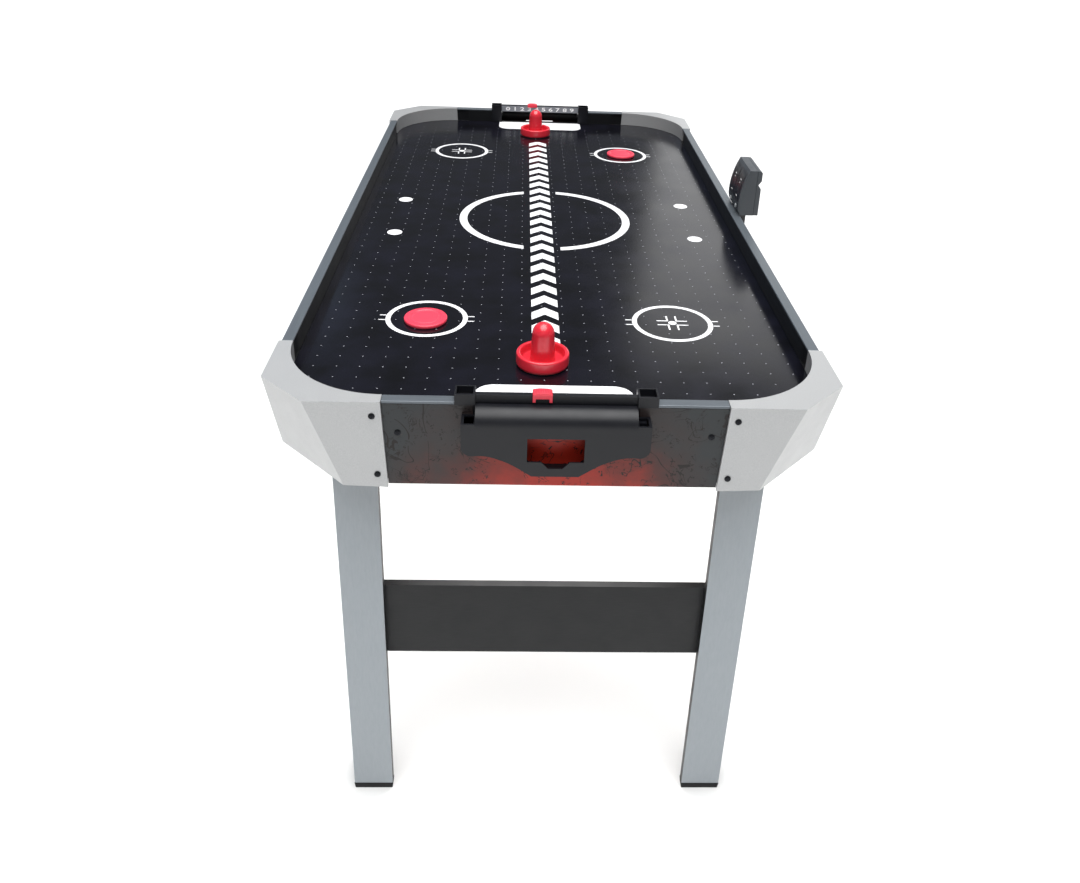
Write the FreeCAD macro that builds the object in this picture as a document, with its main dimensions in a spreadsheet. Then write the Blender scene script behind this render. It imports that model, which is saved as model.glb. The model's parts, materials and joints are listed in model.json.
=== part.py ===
import FreeCAD, Part
import Sketcher
import math
import os
import re

# Air hockey table, millimetres.
# Origin: on the floor, midway between the four legs. +X across the table, +Y along it, +Z up.
# "Near" is the -Y end, "far" the +Y end, "left" is -X and "right" is +X.

SIZES = {
    # overall
    "table_length": 1524,          # over the corner caps
    "table_width": 762,
    "table_height": 802,           # top of the rails
    "rail_rise": 32,               # rail top above the playfield
    "apron_depth": 124,            # the boards, from the rail top down
    "play_thickness": 6,
    "board_thickness": 16,
    "trim_thickness": 4,
    "fit_gap": 0.3,                # clearance between pieces that are laid together
    "overrun": 1,                  # how far a cutting tool runs past what it cuts
    # corner caps
    "cap_wall": 4,
    "cap_drop": 3,                 # how far a cap hangs below the side boards
    "corner_radius": 141,
    "chamfer_x_top": 64,
    "chamfer_y_top": 61,
    "chamfer_x_bottom": 109,
    "chamfer_y_bottom": 102,
    "cap_lean_side": 8.5,          # the side face leans in by this much at its lower corner
    "cap_lean_end": 3,
    "cap_joint_slant": 6,          # the joint with the rail slants by this much over its height
    "board_lap": 40,               # how far a side board runs on under the cap
    "lap_depth": 11,               # the lapped end is rebated by this much
    "play_corner_cut": 48,         # the playfield's corners are cut off by this much
    "cap_screw_drop": 20,          # upper screws, below the rail top
    "cap_screw_rise": 17,          # lower screws, above the boards' lower edge
    "upper_screw_in": 11,          # screws, past the rail's end
    "lower_screw_in": 7,
    "lean_at_screws": 0.07,        # the share of the lean that the lower screws' heads follow
    "board_screw_back": 20,
    "board_screw_drop": 14,        # below the playfield's top
    # goals
    "goal_half_width": 102,
    "post_width": 26,
    "post_wall": 2.5,
    "post_rise": 13,
    "post_flange": 4.5,            # depth of the plate in front of the rail
    "jamb_thickness": 2.8,
    "lip_drop": 2,
    "bar_height": 17,
    "bar_drop": 6,                 # the bar's lower edge hangs below the rail top
    "bar_depth": 7.5,
    "bar_setback": 0.5,            # bar's outer face, inside the board's outer face
    "bar_seat": 1,                 # how far the bar's ends run into the posts
    "strip_thickness": 1.5,
    "strip_margin_low": 0.5,
    "strip_margin_high": 1.5,
    # puck boxes, heights counted down from the rail top
    "box_depth": 26,
    "box_wall": 2.5,
    "box_wing": 17,                # the box is this much wider than the goal, each side
    "hood_fit": 0.5,
    "box_top_drop": 1,
    "wing_drop": 17,
    "hood_radius": 21,
    "box_corner_drop": 63,
    "box_bottom_drop": 92,
    "box_foot_half_width": 30,
    "box_hollow_run": 19,          # the hollow beside the foot
    "box_hollow_rise": 13,
    "box_sweep_end": 48,           # where the long sweep ends, from the box's side
    "box_sweep_drop": 5,
    "box_knee": 13,
    "box_hollow_radius": 95,
    "box_sweep_radius": 60,
    "box_knee_radius": 14,
    "window_half_width": 36,
    "window_low_drop": 70.5,
    "window_high_drop": 36,
    "notch_half_width": 18,
    "notch_depth": 9.5,
    "pocket_rim": 3.5,
    "pocket_hood_gap": 1.5,
    "box_screw_in": 12,
    "box_screw_rise": 14,
    # legs
    "leg_inset_x": 56.2,           # from the boards' inner faces
    "leg_inset_y": 68,
    "leg_width": 62.5,
    "leg_depth": 75,
    "leg_board": 15,
    "foot_height": 12,
    "foot_lip": 0.8,
    "foot_taper": 1.2,
    "stretcher_low": 289,
    "stretcher_high": 421,
    "stretcher_thickness": 12,
    "stretcher_screw_in": 12,
    "stretcher_screw_margin": 30,
    "leg_bolt_in": 20,
    "leg_bolt_low": 14,            # above the floor board
    "leg_bolt_high": 56,
    # cabinet insides
    "floor_board_thickness": 3.2,
    "floor_board_rise": 12,        # its top, above the boards' lower edge
    "batten_width": 18,
    "batten_height": 20,
    "block_reach": 50,             # how far a corner block runs past the leg
    "block_chamfer": 88,
    # blower
    "blower_radius": 62,
    "blower_height": 42,
    "blower_wall": 2.5,
    "intake_radius": 32,
    "outlet_start": 22,
    "outlet_end": 53,
    "outlet_margin": 5,
    "impeller_radius": 52,
    "impeller_eye": 34,
    "impeller_plate": 2,
    "impeller_gap": 3,
    "blade_count": 24,
    "blade_thickness": 1.4,
    "hub_radius": 8,
    "hub_rise": 14,
    "shaft_radius": 2,
    "shaft_fit": 0.05,
    "shaft_rise": 10,
    "shaft_in_motor": 12,
    "motor_radius": 18,
    "motor_length": 28,
    "motor_nose": 3,
    "motor_nose_gap": 1,
    "grille_radius": 45,
    "grille_thickness": 3,
    "grille_slots": 4,
    "slot_first": 6,
    "slot_width": 4,
    "slot_pitch": 7,
    "grille_rib": 2,
    # switch and inlet, on the left board
    "switch_from_end": 272,
    "inlet_from_end": 222,
    "control_rise": 57,            # above the boards' lower edge
    "switch_half_width": 6.2,
    "switch_half_height": 9.7,
    "switch_depth": 14,
    "bezel_lip": 1.8,
    "bezel_lip_high": 2.3,
    "bezel_thickness": 1.6,
    "bezel_wall": 1.4,
    "bezel_wall_high": 1.5,
    "rocker_angle": 9,
    "rocker_half_width": 4.4,
    "rocker_half_length": 6.8,
    "rocker_face": 3.2,
    "rocker_dish": 1.6,
    "rocker_depth": 4,
    "rocker_waist": 6,
    "rocker_pivot": 3.5,
    "trunnion_radius": 1,
    "inlet_radius": 6,
    "collar_radius": 8,
    "collar_thickness": 2,
    "jack_radius": 2.85,
    "jack_depth": 10,
    "jack_pin": 1,
    # mallets and pucks
    "mallet_radius": 37.8,
    "mallet_rim_height": 20,
    "mallet_rim_width": 5,
    "mallet_edge": 2,
    "mallet_foot_rise": 2.5,
    "mallet_dish": 9,              # the dish's floor starts this far in from the rim
    "mallet_floor": 5,
    "mallet_height": 65,
    "knob_radius": 17,
    "knob_top_radius": 15.3,
    "knob_root": 4,
    "mallet_wall": 2.6,
    "felt_thickness": 1.5,
    "felt_radius": 35,
    "near_mallet_x": -14.5,
    "near_mallet_from_end": 146,
    "far_mallet_x": -13,
    "far_mallet_from_end": 124,
    "puck_radius": 33,
    "puck_thickness": 6,
    "puck_edge": 1,
    "puck_land_radius": 23.8,
    "puck_recess_radius": 22.4,
    "puck_recess": 0.6,
    "puck_from_side": 169.5,
    "near_puck_from_end": 278,
    "far_puck_from_end": 288,
    # sliding score markers
    "slider_width": 25,
    "slider_rise": 5,
    "slider_wall": 2.4,
    "slider_inner_leg": 4,
    "slider_outer_leg": 9,
    "slider_foot": 4,
    "near_slider_x": -18,
    "far_slider_x": -20.4,
    # electronic scorer, sideways places counted from the boards' outer face
    "scorer_half_width": 48,
    "scorer_gap": 2,               # above the rail
    "scorer_rise": 89,
    "scorer_back": 33.5,
    "scorer_top": 9.5,
    "scorer_foot": 1.5,
    "scorer_bulge": 6.5,
    "scorer_bulge_rise": 18,
    "scorer_wall": 2.2,
    "scorer_face_radius": 150,
    "scorer_chin_radius": 40,
    "scorer_edge": 4,
    "groove_rise": 61,
    "groove_depth": 5.7,
    "groove_half_height": 8,
    "lens_margin": 7,
    "lens_rise": 24,
    "circuit_margin": 8,
    "circuit_depth": 5,
    "circuit_thickness": 1.6,
    "bracket_half_width": 32,
    "bracket_depth": 14,
    "bracket_drop": 60,
    "bracket_wall": 3,
    "bracket_foot": 24,
    "bracket_screw_in": 10,
    "bracket_screw_rise": 12,
    "button_radius": 4.5,
    "button_half_pitch": 24,
    "button_rise": 12,
    "button_length": 8,
    "button_stand": 1,
    "button_flange": 1.2,
    # light gates and wiring
    "sensor_inset": 2,
    "sensor_width": 10,
    "sensor_depth": 9,
    "sensor_height": 9,
    "sensor_rise": 2,
    "lead_radius": 1.8,
    "lead_bend": 30,
    "lead_inset": 110,
    # fasteners
    "screw_radius": 2,
    "screw_head_radius": 4.2,
    "screw_head_height": 2.2,
    "screw_clearance": 0.25,
    "bolt_radius": 3,
    "bolt_head_radius": 6,
    "bolt_head_height": 4,
}

# Places that follow from the sizes. Each is a formula over the names above it.
PLACES = {
    "cap_x": "table_width / 2",
    "cap_y": "table_length / 2",
    "side_out": "cap_x - cap_wall",
    "end_out": "cap_y - cap_wall",
    "side_in": "side_out - board_thickness",
    "end_in": "end_out - board_thickness",
    "board_top": "table_height - trim_thickness",
    "play_height": "table_height - rail_rise",
    "play_bottom": "play_height - play_thickness",
    "skirt_height": "table_height - apron_depth",
    "arc_x": "side_in - corner_radius",
    "arc_y": "end_in - corner_radius",
    "cap_low": "skirt_height - cap_drop",
    "leg_outer_x": "side_in - leg_inset_x",
    "leg_outer_y": "end_in - leg_inset_y",
    "leg_in_x": "leg_outer_x - leg_width",
    "leg_in_y": "leg_outer_y - leg_depth",
    "leg_web_x": "leg_outer_x - leg_board",
    "leg_web_y": "leg_outer_y - leg_board",
    "post_out": "goal_half_width + post_width",
    "post_top": "table_height + post_rise",
    "flange_y": "end_in - post_flange",
    "bar_low": "table_height - bar_drop",
    "bar_top": "bar_low + bar_height",
    "bar_out_y": "end_out - bar_setback",
    "bar_in_y": "bar_out_y - bar_depth",
    "strip_y": "bar_in_y - strip_thickness",
    "mouth_half_width": "goal_half_width + jamb_thickness + fit_gap",
    "box_out_y": "end_out + box_depth",
    "box_half_width": "goal_half_width + box_wing",
    "hood_half_width": "goal_half_width - hood_fit",
    "box_top": "table_height - box_top_drop",
    "wing_top": "table_height - wing_drop",
    "box_corner_height": "table_height - box_corner_drop",
    "box_bottom": "table_height - box_bottom_drop",
    "window_low": "table_height - window_low_drop",
    "window_high": "table_height - window_high_drop",
    "floor_board_top": "skirt_height + floor_board_rise",
    "floor_board_low": "floor_board_top - floor_board_thickness",
    "blower_top": "floor_board_top + blower_height",
    "control_z": "skirt_height + control_rise",
    "switch_y": "switch_from_end - end_in",
    "inlet_y": "inlet_from_end - end_in",
    "felt_top": "play_height + felt_thickness",
    "near_mallet_y": "near_mallet_from_end - end_in",
    "far_mallet_y": "end_in - far_mallet_from_end",
    "puck_x": "side_in - puck_from_side",
    "near_puck_y": "near_puck_from_end - end_in",
    "far_puck_y": "end_in - far_puck_from_end",
    "scorer_low": "table_height + scorer_gap",
    "scorer_high": "scorer_low + scorer_rise",
    "scorer_back_x": "side_out + scorer_back",
    "scorer_top_x": "side_out + scorer_top",
    "scorer_foot_x": "side_out - scorer_foot",
    "scorer_bulge_x": "side_out - scorer_bulge",
    "scorer_bulge_z": "scorer_low + scorer_bulge_rise",
    "groove_z": "scorer_low + groove_rise",
    "bracket_low": "table_height - bracket_drop",
    "screw_hole": "screw_radius + screw_clearance",
    "bolt_hole": "bolt_radius + screw_clearance",
}

doc = FreeCAD.newDocument("air_hockey_table")
sheet = doc.addObject("Spreadsheet::Sheet", "Sizes")
places = doc.addObject("Spreadsheet::Sheet", "Places")
nodes = []


def formula(words):
    """Puts the sheet's name before each size or place in a formula."""
    def prefixed(match):
        name = match.group(0)
        if name in SIZES:
            return "Sizes." + name
        if name in PLACES:
            return "Places." + name
        return name
    return re.sub(r"[a-z_][a-z0-9_]*", prefixed, str(words))


def number(words):
    return float(sheet.evalExpression(formula(words)))


def fill_sheets():
    for row, (name, size) in enumerate(SIZES.items(), start=1):
        sheet.set(f"A{row}", name)
        sheet.set(f"B{row}", str(size))
        sheet.setAlias(f"B{row}", name)
    doc.recompute()
    for row, (name, words) in enumerate(PLACES.items(), start=1):
        places.set(f"A{row}", name)
        places.set(f"B{row}", "=" + re.sub(r"Places\.", "", formula(words)))
        places.setAlias(f"B{row}", name)
    doc.recompute()


# ---------------------------------------------------------------- helpers

def place(item, x, y, z):
    item.setExpression("Placement.Base.x", formula(x))
    item.setExpression("Placement.Base.y", formula(y))
    item.setExpression("Placement.Base.z", formula(z))


def box(x, y, z, name="Box"):
    """A block between two x, two y and two z formulas."""
    item = doc.addObject("Part::Box", name)
    item.setExpression("Length", formula(f"({x[1]}) - ({x[0]})"))
    item.setExpression("Width", formula(f"({y[1]}) - ({y[0]})"))
    item.setExpression("Height", formula(f"({z[1]}) - ({z[0]})"))
    place(item, x[0], y[0], z[0])
    return item


AXIS_TURNS = {
    "z": FreeCAD.Rotation(),
    "x": FreeCAD.Rotation(FreeCAD.Vector(0, 1, 0), 90),
    "y": FreeCAD.Rotation(FreeCAD.Vector(1, 0, 0), -90),
}


def cylinder(radius, start, length, axis="z", name="Cylinder"):
    """A cylinder from the start point along +axis."""
    item = doc.addObject("Part::Cylinder", name)
    item.setExpression("Radius", formula(radius))
    item.setExpression("Height", formula(length))
    item.Placement = FreeCAD.Placement(FreeCAD.Vector(), AXIS_TURNS[axis])
    place(item, *start)
    return item


def fuse(items, name="Fuse"):
    item = doc.addObject("Part::MultiFuse", name)
    item.Shapes = items
    return item


def cut(base, tools, name="Cut"):
    item = doc.addObject("Part::Cut", name)
    item.Base = base
    item.Tool = tools[0] if len(tools) == 1 else fuse(tools)
    return item


def common(base, tool, name="Common"):
    item = doc.addObject("Part::Common", name)
    item.Base = base
    item.Tool = tool
    return item


def group(items, name="Group"):
    item = doc.addObject("Part::Compound", name)
    item.Links = items
    return item


def mirrored(source, axis, name="Mirror"):
    item = doc.addObject("Part::Mirroring", name)
    item.Source = source
    item.Normal = FreeCAD.Vector(*(1 if letter == axis else 0 for letter in "xyz"))
    return item


def node(item, label):
    item.Label = label
    nodes.append(item)
    return item


def body(name):
    return doc.addObject("PartDesign::Body", name)


def sketch_on(owner, role, offset="0"):
    """A sketch on one of the body's own origin planes, moved along its normal."""
    sketch = owner.newObject("Sketcher::SketchObject", "Sketch")
    plane = [f for f in owner.Origin.OriginFeatures if f.Role == role][0]
    sketch.AttachmentSupport = [(plane, "")]
    sketch.MapMode = "FlatFace"
    sketch.setExpression("AttachmentOffset.Base.z", formula(offset))
    return sketch


def arc_centre(start, end, radius, left):
    """Centre of the arc from start to end that has its centre on the left or right."""
    middle = (start + end) * 0.5
    half = (end - start) * 0.5
    rise = math.sqrt(max(radius ** 2 - half.Length ** 2, 0))
    normal = FreeCAD.Vector(-half.y, half.x, 0).normalize()
    return middle + normal * (rise if left else -rise)


def outline(sketch, corners, arcs=None):
    """Draws a closed outline through corners, pairs of formulas.

    arcs maps the number of a stretch to (radius, "left" or "right"), the side of its centre.
    """
    arcs = arcs or {}
    points = [FreeCAD.Vector(number(x), number(y), 0) for x, y in corners]
    count = len(points)
    starts = []
    ends = []
    for i in range(count):
        here, there = points[i], points[(i + 1) % count]
        if i not in arcs:
            edge = sketch.addGeometry(Part.LineSegment(here, there))
            starts.append((edge, 1))
            ends.append((edge, 2))
            continue
        radius, side = arcs[i]
        left = side == "left"
        centre = arc_centre(here, there, number(radius), left)
        first, last = (here, there) if left else (there, here)
        angles = [math.atan2(p.y - centre.y, p.x - centre.x) for p in (first, last)]
        if angles[1] <= angles[0]:
            angles[1] += 2 * math.pi
        circle = Part.Circle(centre, FreeCAD.Vector(0, 0, 1), number(radius))
        edge = sketch.addGeometry(Part.ArcOfCircle(circle, *angles))
        starts.append((edge, 1 if left else 2))
        ends.append((edge, 2 if left else 1))
        index = sketch.addConstraint(Sketcher.Constraint("Radius", edge, number(radius)))
        sketch.setExpression(f"Constraints[{index}]", formula(radius))
    fix_corners(sketch, corners, points, starts, ends)


def fix_corners(sketch, corners, points, starts, ends):
    """Joins the stretches end to end and ties each corner to its pair of formulas."""
    for i, (x, y) in enumerate(corners):
        sketch.addConstraint(Sketcher.Constraint("Coincident", *ends[i - 1], *starts[i]))
        for kind, words, value, axis in (("DistanceX", x, points[i].x, -2), ("DistanceY", y, points[i].y, -1)):
            if words == "0":
                sketch.addConstraint(Sketcher.Constraint("PointOnObject", *starts[i], axis))
                continue
            index = sketch.addConstraint(Sketcher.Constraint(kind, -1, 1, *starts[i], value))
            sketch.setExpression(f"Constraints[{index}]", formula(words))


def pad(owner, role, corners, low, high, arcs=None, name="Pad"):
    """Adds an outline's prism between two heights along the plane's normal."""
    sketch = sketch_on(owner, role, low)
    outline(sketch, corners, arcs)
    feature = owner.newObject("PartDesign::Pad", name)
    feature.Profile = sketch
    feature.setExpression("Length", formula(f"({high}) - ({low})"))
    doc.recompute()
    return feature


def pocket(owner, role, corners, low, high, arcs=None, name="Pocket"):
    """Removes an outline's prism between two heights along the plane's normal."""
    before = owner.Shape.Volume
    sketch = sketch_on(owner, role, low)
    outline(sketch, corners, arcs)
    feature = owner.newObject("PartDesign::Pocket", name)
    feature.Profile = sketch
    feature.Reversed = True
    feature.setExpression("Length", formula(f"({high}) - ({low})"))
    doc.recompute()
    assert owner.Shape.Volume < before - 1e-3, f"{owner.Name}: {name} cuts nothing"
    return feature


def revolve(owner, corners, arcs=None):
    """Turns an outline in the XZ plane about the body's Z axis."""
    sketch = sketch_on(owner, "XZ_Plane")
    outline(sketch, corners, arcs)
    feature = owner.newObject("PartDesign::Revolution", "Revolution")
    feature.Profile = sketch
    axis = [f for f in owner.Origin.OriginFeatures if f.Role == "Z_Axis"][0]
    feature.ReferenceAxis = (axis, [""])
    feature.Angle = 360
    doc.recompute()
    return feature


def rectangle(x, y):
    return [(x[0], y[0]), (x[1], y[0]), (x[1], y[1]), (x[0], y[1])]


def four_ways(source, base_name):
    """Labels a far right piece and its three mirror images, as nodes."""
    near_right = mirrored(source, "y")
    node(source, f"{base_name}_far_right")
    node(near_right, f"{base_name}_near_right")
    node(mirrored(source, "x"), f"{base_name}_far_left")
    node(mirrored(near_right, "x"), f"{base_name}_near_left")


def four_copies(source):
    """The far right piece and its three mirror images, as loose items."""
    near_right = mirrored(source, "y")
    return [source, near_right, mirrored(source, "x"), mirrored(near_right, "x")]


def both_ends(source, base_name):
    node(source, f"{base_name}_far")
    node(mirrored(source, "y"), f"{base_name}_near")


def screw(start, axis, way, reach, kind="screw"):
    """A round-headed screw whose head sits on start and whose shank runs along way x axis."""
    head_height = f"{kind}_head_height"
    moved = dict(zip("xyz", start))
    shank_start = dict(moved)
    if way > 0:
        moved[axis] = f"({moved[axis]}) - {head_height}"
    else:
        shank_start[axis] = f"({shank_start[axis]}) - ({reach})"
    head = cylinder(f"{kind}_head_radius", moved.values(), head_height, axis)
    shank = cylinder(f"{kind}_radius", shank_start.values(), reach, axis)
    return fuse([head, shank], "Screw")


def screw_hole(start, axis, way, reach, kind="screw"):
    """The hole that a screw of the same start, axis and reach passes through."""
    base = dict(zip("xyz", start))
    overrun = "fit_gap"
    if way > 0:
        base[axis] = f"({base[axis]}) - {overrun}"
    else:
        base[axis] = f"({base[axis]}) - ({reach}) - {overrun}"
    return cylinder(f"{kind}_hole", base.values(), f"({reach}) + 2 * {overrun}", axis)


# ---------------------------------------------------------------- screw places

# Two screws hold each end face of a cap, and two hold each side face. The upper ones stop in the
# cap's curved wall, and the lower ones reach the corner block. Each spot is a start, an axis, the
# way along it and the screw's reach.
UPPER_REACH = "cap_wall + board_thickness - 2"
LOWER_REACH = "cap_wall + board_thickness + 7"
UPPER_Z = "table_height - cap_screw_drop"
LOWER_Z = "skirt_height + cap_screw_rise"
CAP_SCREWS = [
    (("arc_x + upper_screw_in", "cap_y", UPPER_Z), "y", -1, UPPER_REACH),
    (("arc_x + lower_screw_in", "cap_y - cap_lean_end * lean_at_screws", LOWER_Z), "y", -1, LOWER_REACH),
    (("cap_x", "arc_y + upper_screw_in", UPPER_Z), "x", -1, UPPER_REACH),
    (("cap_x - cap_lean_side * lean_at_screws", "arc_y + lower_screw_in", LOWER_Z), "x", -1, LOWER_REACH),
]
# One screw beside each cap holds the board to its corner block.
BOARD_REACH = "board_thickness + 14"
BOARD_SCREWS = [
    (("arc_x - board_screw_back", "end_out", "play_height - board_screw_drop"), "y", -1, BOARD_REACH),
    (("side_out", "arc_y - board_screw_back", "play_height - board_screw_drop"), "x", -1, BOARD_REACH),
]
# One screw from inside the cabinet holds each side of a puck box.
BOX_SCREW_X = "box_half_width - box_screw_in"
BOX_SCREW_Z = "box_corner_height + box_screw_rise"
BOX_SCREW_GRIP = "box_depth - box_wall - 6"
BOX_SCREWS = [((BOX_SCREW_X, "end_in", BOX_SCREW_Z), "y", 1, "board_thickness + 8")]
# Two bolts pass from inside each leg panel into the corner block.
LEG_BOLTS = []
for rise in ("leg_bolt_low", "leg_bolt_high"):
    bolt_z = f"floor_board_top + {rise}"
    LEG_BOLTS += [
        (("leg_in_x + leg_bolt_in", "leg_web_y", bolt_z), "y", 1, "leg_board + 30", "bolt"),
        (("leg_web_x", "leg_in_y + leg_bolt_in", bolt_z), "x", 1, "leg_board + 30", "bolt"),
    ]
STRETCHER_SCREWS = [
    (("leg_in_x + stretcher_screw_in", "leg_web_y - fit_gap - stretcher_thickness", level), "y", 1,
     "stretcher_thickness + 10")
    for level in ("stretcher_low + stretcher_screw_margin", "stretcher_high - stretcher_screw_margin")
]
BRACKET_SCREWS = [
    (("side_out + bracket_depth", f"{sign} * (bracket_half_width - bracket_screw_in)",
      "bracket_low + bracket_screw_rise"), "x", -1, "bracket_depth + 12")
    for sign in (-1, 1)
]


def four_screws(spots):
    """The far right screws of these spots and their mirror images."""
    return [item for spot in spots for item in four_copies(screw(*spot))]


def holes_for(spots):
    return [screw_hole(*spot) for spot in spots]


def with_mirror(items, axis):
    return items + [mirrored(item, axis) for item in items]


# ---------------------------------------------------------------- cabinet

def lap_outline(arc_centre, cap_face):
    """Side view of a lap: its inner edge leans with the cap's edge, so no gap shows beside the cap."""
    return [
        (f"{arc_centre} - fit_gap", "table_height"),
        (cap_face, "table_height"),
        (cap_face, "cap_low"),
        (f"{arc_centre} - cap_joint_slant - fit_gap", "cap_low"),
    ]


def make_boards():
    """The two long and two short boards of the cabinet, lapped under the corner caps."""
    wall = "corner_radius + cap_wall + fit_gap"
    arc_tool = cylinder(wall, ("arc_x", "arc_y", "play_height"), "table_height - play_height")
    arc_tools = four_copies(arc_tool)
    lap_x = "arc_x + board_lap"
    lap_y = "arc_y + board_lap"
    screw_holes = [copy for hole in holes_for(CAP_SCREWS + BOARD_SCREWS) for copy in four_copies(hole)]
    tools = fuse(arc_tools + screw_holes, "BoardTools")

    side = box(("side_in", "side_out"), (f"-({lap_y})", lap_y), ("skirt_height", "board_top"))
    side_lap = body("SideLap")
    pad(side_lap, "YZ_Plane", lap_outline("arc_y", "cap_y"), "side_out - lap_depth", "side_out + fit_gap")
    side = cut(side, with_mirror([side_lap], "y"))
    node(cut(side, [tools, *holes_for(BRACKET_SCREWS)]), "side_apron_right")
    node(cut(mirrored(side, "x"), [tools, control_holes()]), "side_apron_left")

    end = box((f"-({lap_x})", lap_x), ("end_in", "end_out"), ("skirt_height", "board_top"))
    end_lap = body("EndLap")
    # The XZ plane faces -Y, so its heights are counted from the far end back.
    pad(end_lap, "XZ_Plane", lap_outline("arc_x", "cap_x"), "-(end_out + fit_gap)", "-(end_out - lap_depth)")
    mouth = box(("-mouth_half_width", "mouth_half_width"), ("end_in - fit_gap", "end_out + fit_gap"),
                ("play_height", "table_height"))
    end = cut(end, [*with_mirror([end_lap], "x"), mouth, tools, *with_mirror(holes_for(BOX_SCREWS), "x")])
    both_ends(end, "end_apron")


def make_trims():
    """The grey strips along the tops of the boards."""
    heights = ("board_top", "table_height")
    side = box(("side_in", "side_out"), ("-(arc_y - fit_gap)", "arc_y - fit_gap"), heights)
    node(side, "side_trim_right")
    node(mirrored(side, "x"), "side_trim_left")
    end = box(("mouth_half_width", "arc_x - fit_gap"), ("end_in", "end_out"), heights)
    both_ends(group([end, mirrored(end, "x")]), "end_trim")


def cap_sections(inset, low, high):
    """The cap's outline at its bottom and top, with the walls moved in by inset."""
    diagonal = f"({inset}) * 0.4142"
    joint_x = "arc_x - cap_joint_slant"
    joint_y = "arc_y - cap_joint_slant"
    reach = f"({inset}) * 2"
    bottom = [
        (f"{joint_x} - {reach}", f"{joint_y} - {reach}"),
        (f"cap_x - ({inset})", f"{joint_y} - {reach}"),
        (f"cap_x - cap_lean_side - ({inset})", f"cap_y - chamfer_y_bottom - {diagonal}"),
        (f"cap_x - chamfer_x_bottom - {diagonal}", f"cap_y - cap_lean_end - ({inset})"),
        (f"{joint_x} - {reach}", f"cap_y - ({inset})"),
    ]
    top = [
        (f"arc_x - {reach}", f"arc_y - {reach}"),
        (f"cap_x - ({inset})", f"arc_y - {reach}"),
        (f"cap_x - ({inset})", f"cap_y - chamfer_y_top - {diagonal}"),
        (f"cap_x - chamfer_x_top - {diagonal}", f"cap_y - ({inset})"),
        (f"arc_x - {reach}", f"cap_y - ({inset})"),
    ]
    return ((bottom, low), (top, high))


def cap_block(inset, low, high, name):
    """A block between the cap's bottom and top outlines."""
    owner = body(name)
    sketches = []
    for corners, level in cap_sections(inset, low, high):
        sketch = sketch_on(owner, "XY_Plane", level)
        outline(sketch, corners)
        sketches.append(sketch)
    loft = owner.newObject("PartDesign::AdditiveLoft", "Loft")
    loft.Profile = sketches[0]
    loft.Sections = [sketches[1]]
    loft.Ruled = True
    doc.recompute()
    return owner


def make_caps():
    """The faceted plastic corner: an outer shell, a top with a round inner edge, and a curved wall."""
    outer = cap_block("0", "cap_low", "table_height", "CapOuter")
    inner = cap_block("cap_wall", "cap_low - fit_gap", "board_top", "CapInner")
    wall_ring = cylinder("corner_radius + cap_wall", ("arc_x", "arc_y", "play_height + fit_gap"),
                         "table_height - play_height")
    hollow = cut(inner, [wall_ring], "CapHollow")
    play_side = cylinder("corner_radius", ("arc_x", "arc_y", "play_height - board_thickness"),
                         "table_height")
    inside_low = box(("0", "arc_x + corner_radius"), ("0", "arc_y + corner_radius"),
                     ("cap_low - overrun", "play_height + fit_gap"))
    corner_low = common(inner, inside_low)
    heights = ("cap_low - overrun", "table_height + overrun")
    rail_side = box(("0", "side_in"), ("0", "arc_y"), heights)
    rail_end = box(("0", "arc_x"), ("0", "end_in"), heights)
    shell = cut(outer, [hollow, play_side, corner_low, rail_side, rail_end], "CapShell")
    bosses = []
    depth = "cap_wall + lap_depth - fit_gap"
    for start, axis, *_ in CAP_SCREWS:
        base = dict(zip("xyz", start))
        base[axis] = f"cap_{axis} - ({depth})"
        bosses.append(cylinder("screw_head_radius", base.values(), f"({depth}) - cap_wall / 2", axis))
    cap = cut(fuse([shell, *bosses]), holes_for(CAP_SCREWS), "Cap")
    four_ways(cap, "corner_cap")


def make_playfield():
    """The laminated board that the puck glides on, its corners cut off under the caps."""
    owner = body("Playfield")
    half_x = "(side_in - fit_gap)"
    half_y = "(end_in - fit_gap)"
    corners = []
    for sx, sy in ((1, 1), (-1, 1), (-1, -1), (1, -1)):
        along_x = (f"{sx} * ({half_x} - play_corner_cut)", f"{sy} * {half_y}")
        along_y = (f"{sx} * {half_x}", f"{sy} * ({half_y} - play_corner_cut)")
        corners += [along_y, along_x] if sx * sy > 0 else [along_x, along_y]
    pad(owner, "XY_Plane", corners, "play_bottom", "play_height")
    node(owner, "playfield")


def corner_outline():
    """The block's L-shaped outline, which hugs the leg and the two boards."""
    return [
        ("leg_outer_x", "leg_in_y - block_reach"),
        ("side_in", "leg_in_y - block_reach"),
        ("side_in", "end_in - block_chamfer"),
        ("side_in - block_chamfer", "end_in"),
        ("leg_in_x - block_reach", "end_in"),
        ("leg_in_x - block_reach", "leg_outer_y"),
        ("leg_outer_x", "leg_outer_y"),
    ]


def make_corner_blocks():
    """Wooden blocks that tie two boards, a leg and the playfield together."""
    owner = body("CornerBlock")
    pad(owner, "XY_Plane", corner_outline(), "floor_board_top", "play_bottom")
    holes = holes_for(BOARD_SCREWS + CAP_SCREWS + LEG_BOLTS)
    node(group(four_copies(cut(owner, holes))), "corner_blocks")


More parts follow.
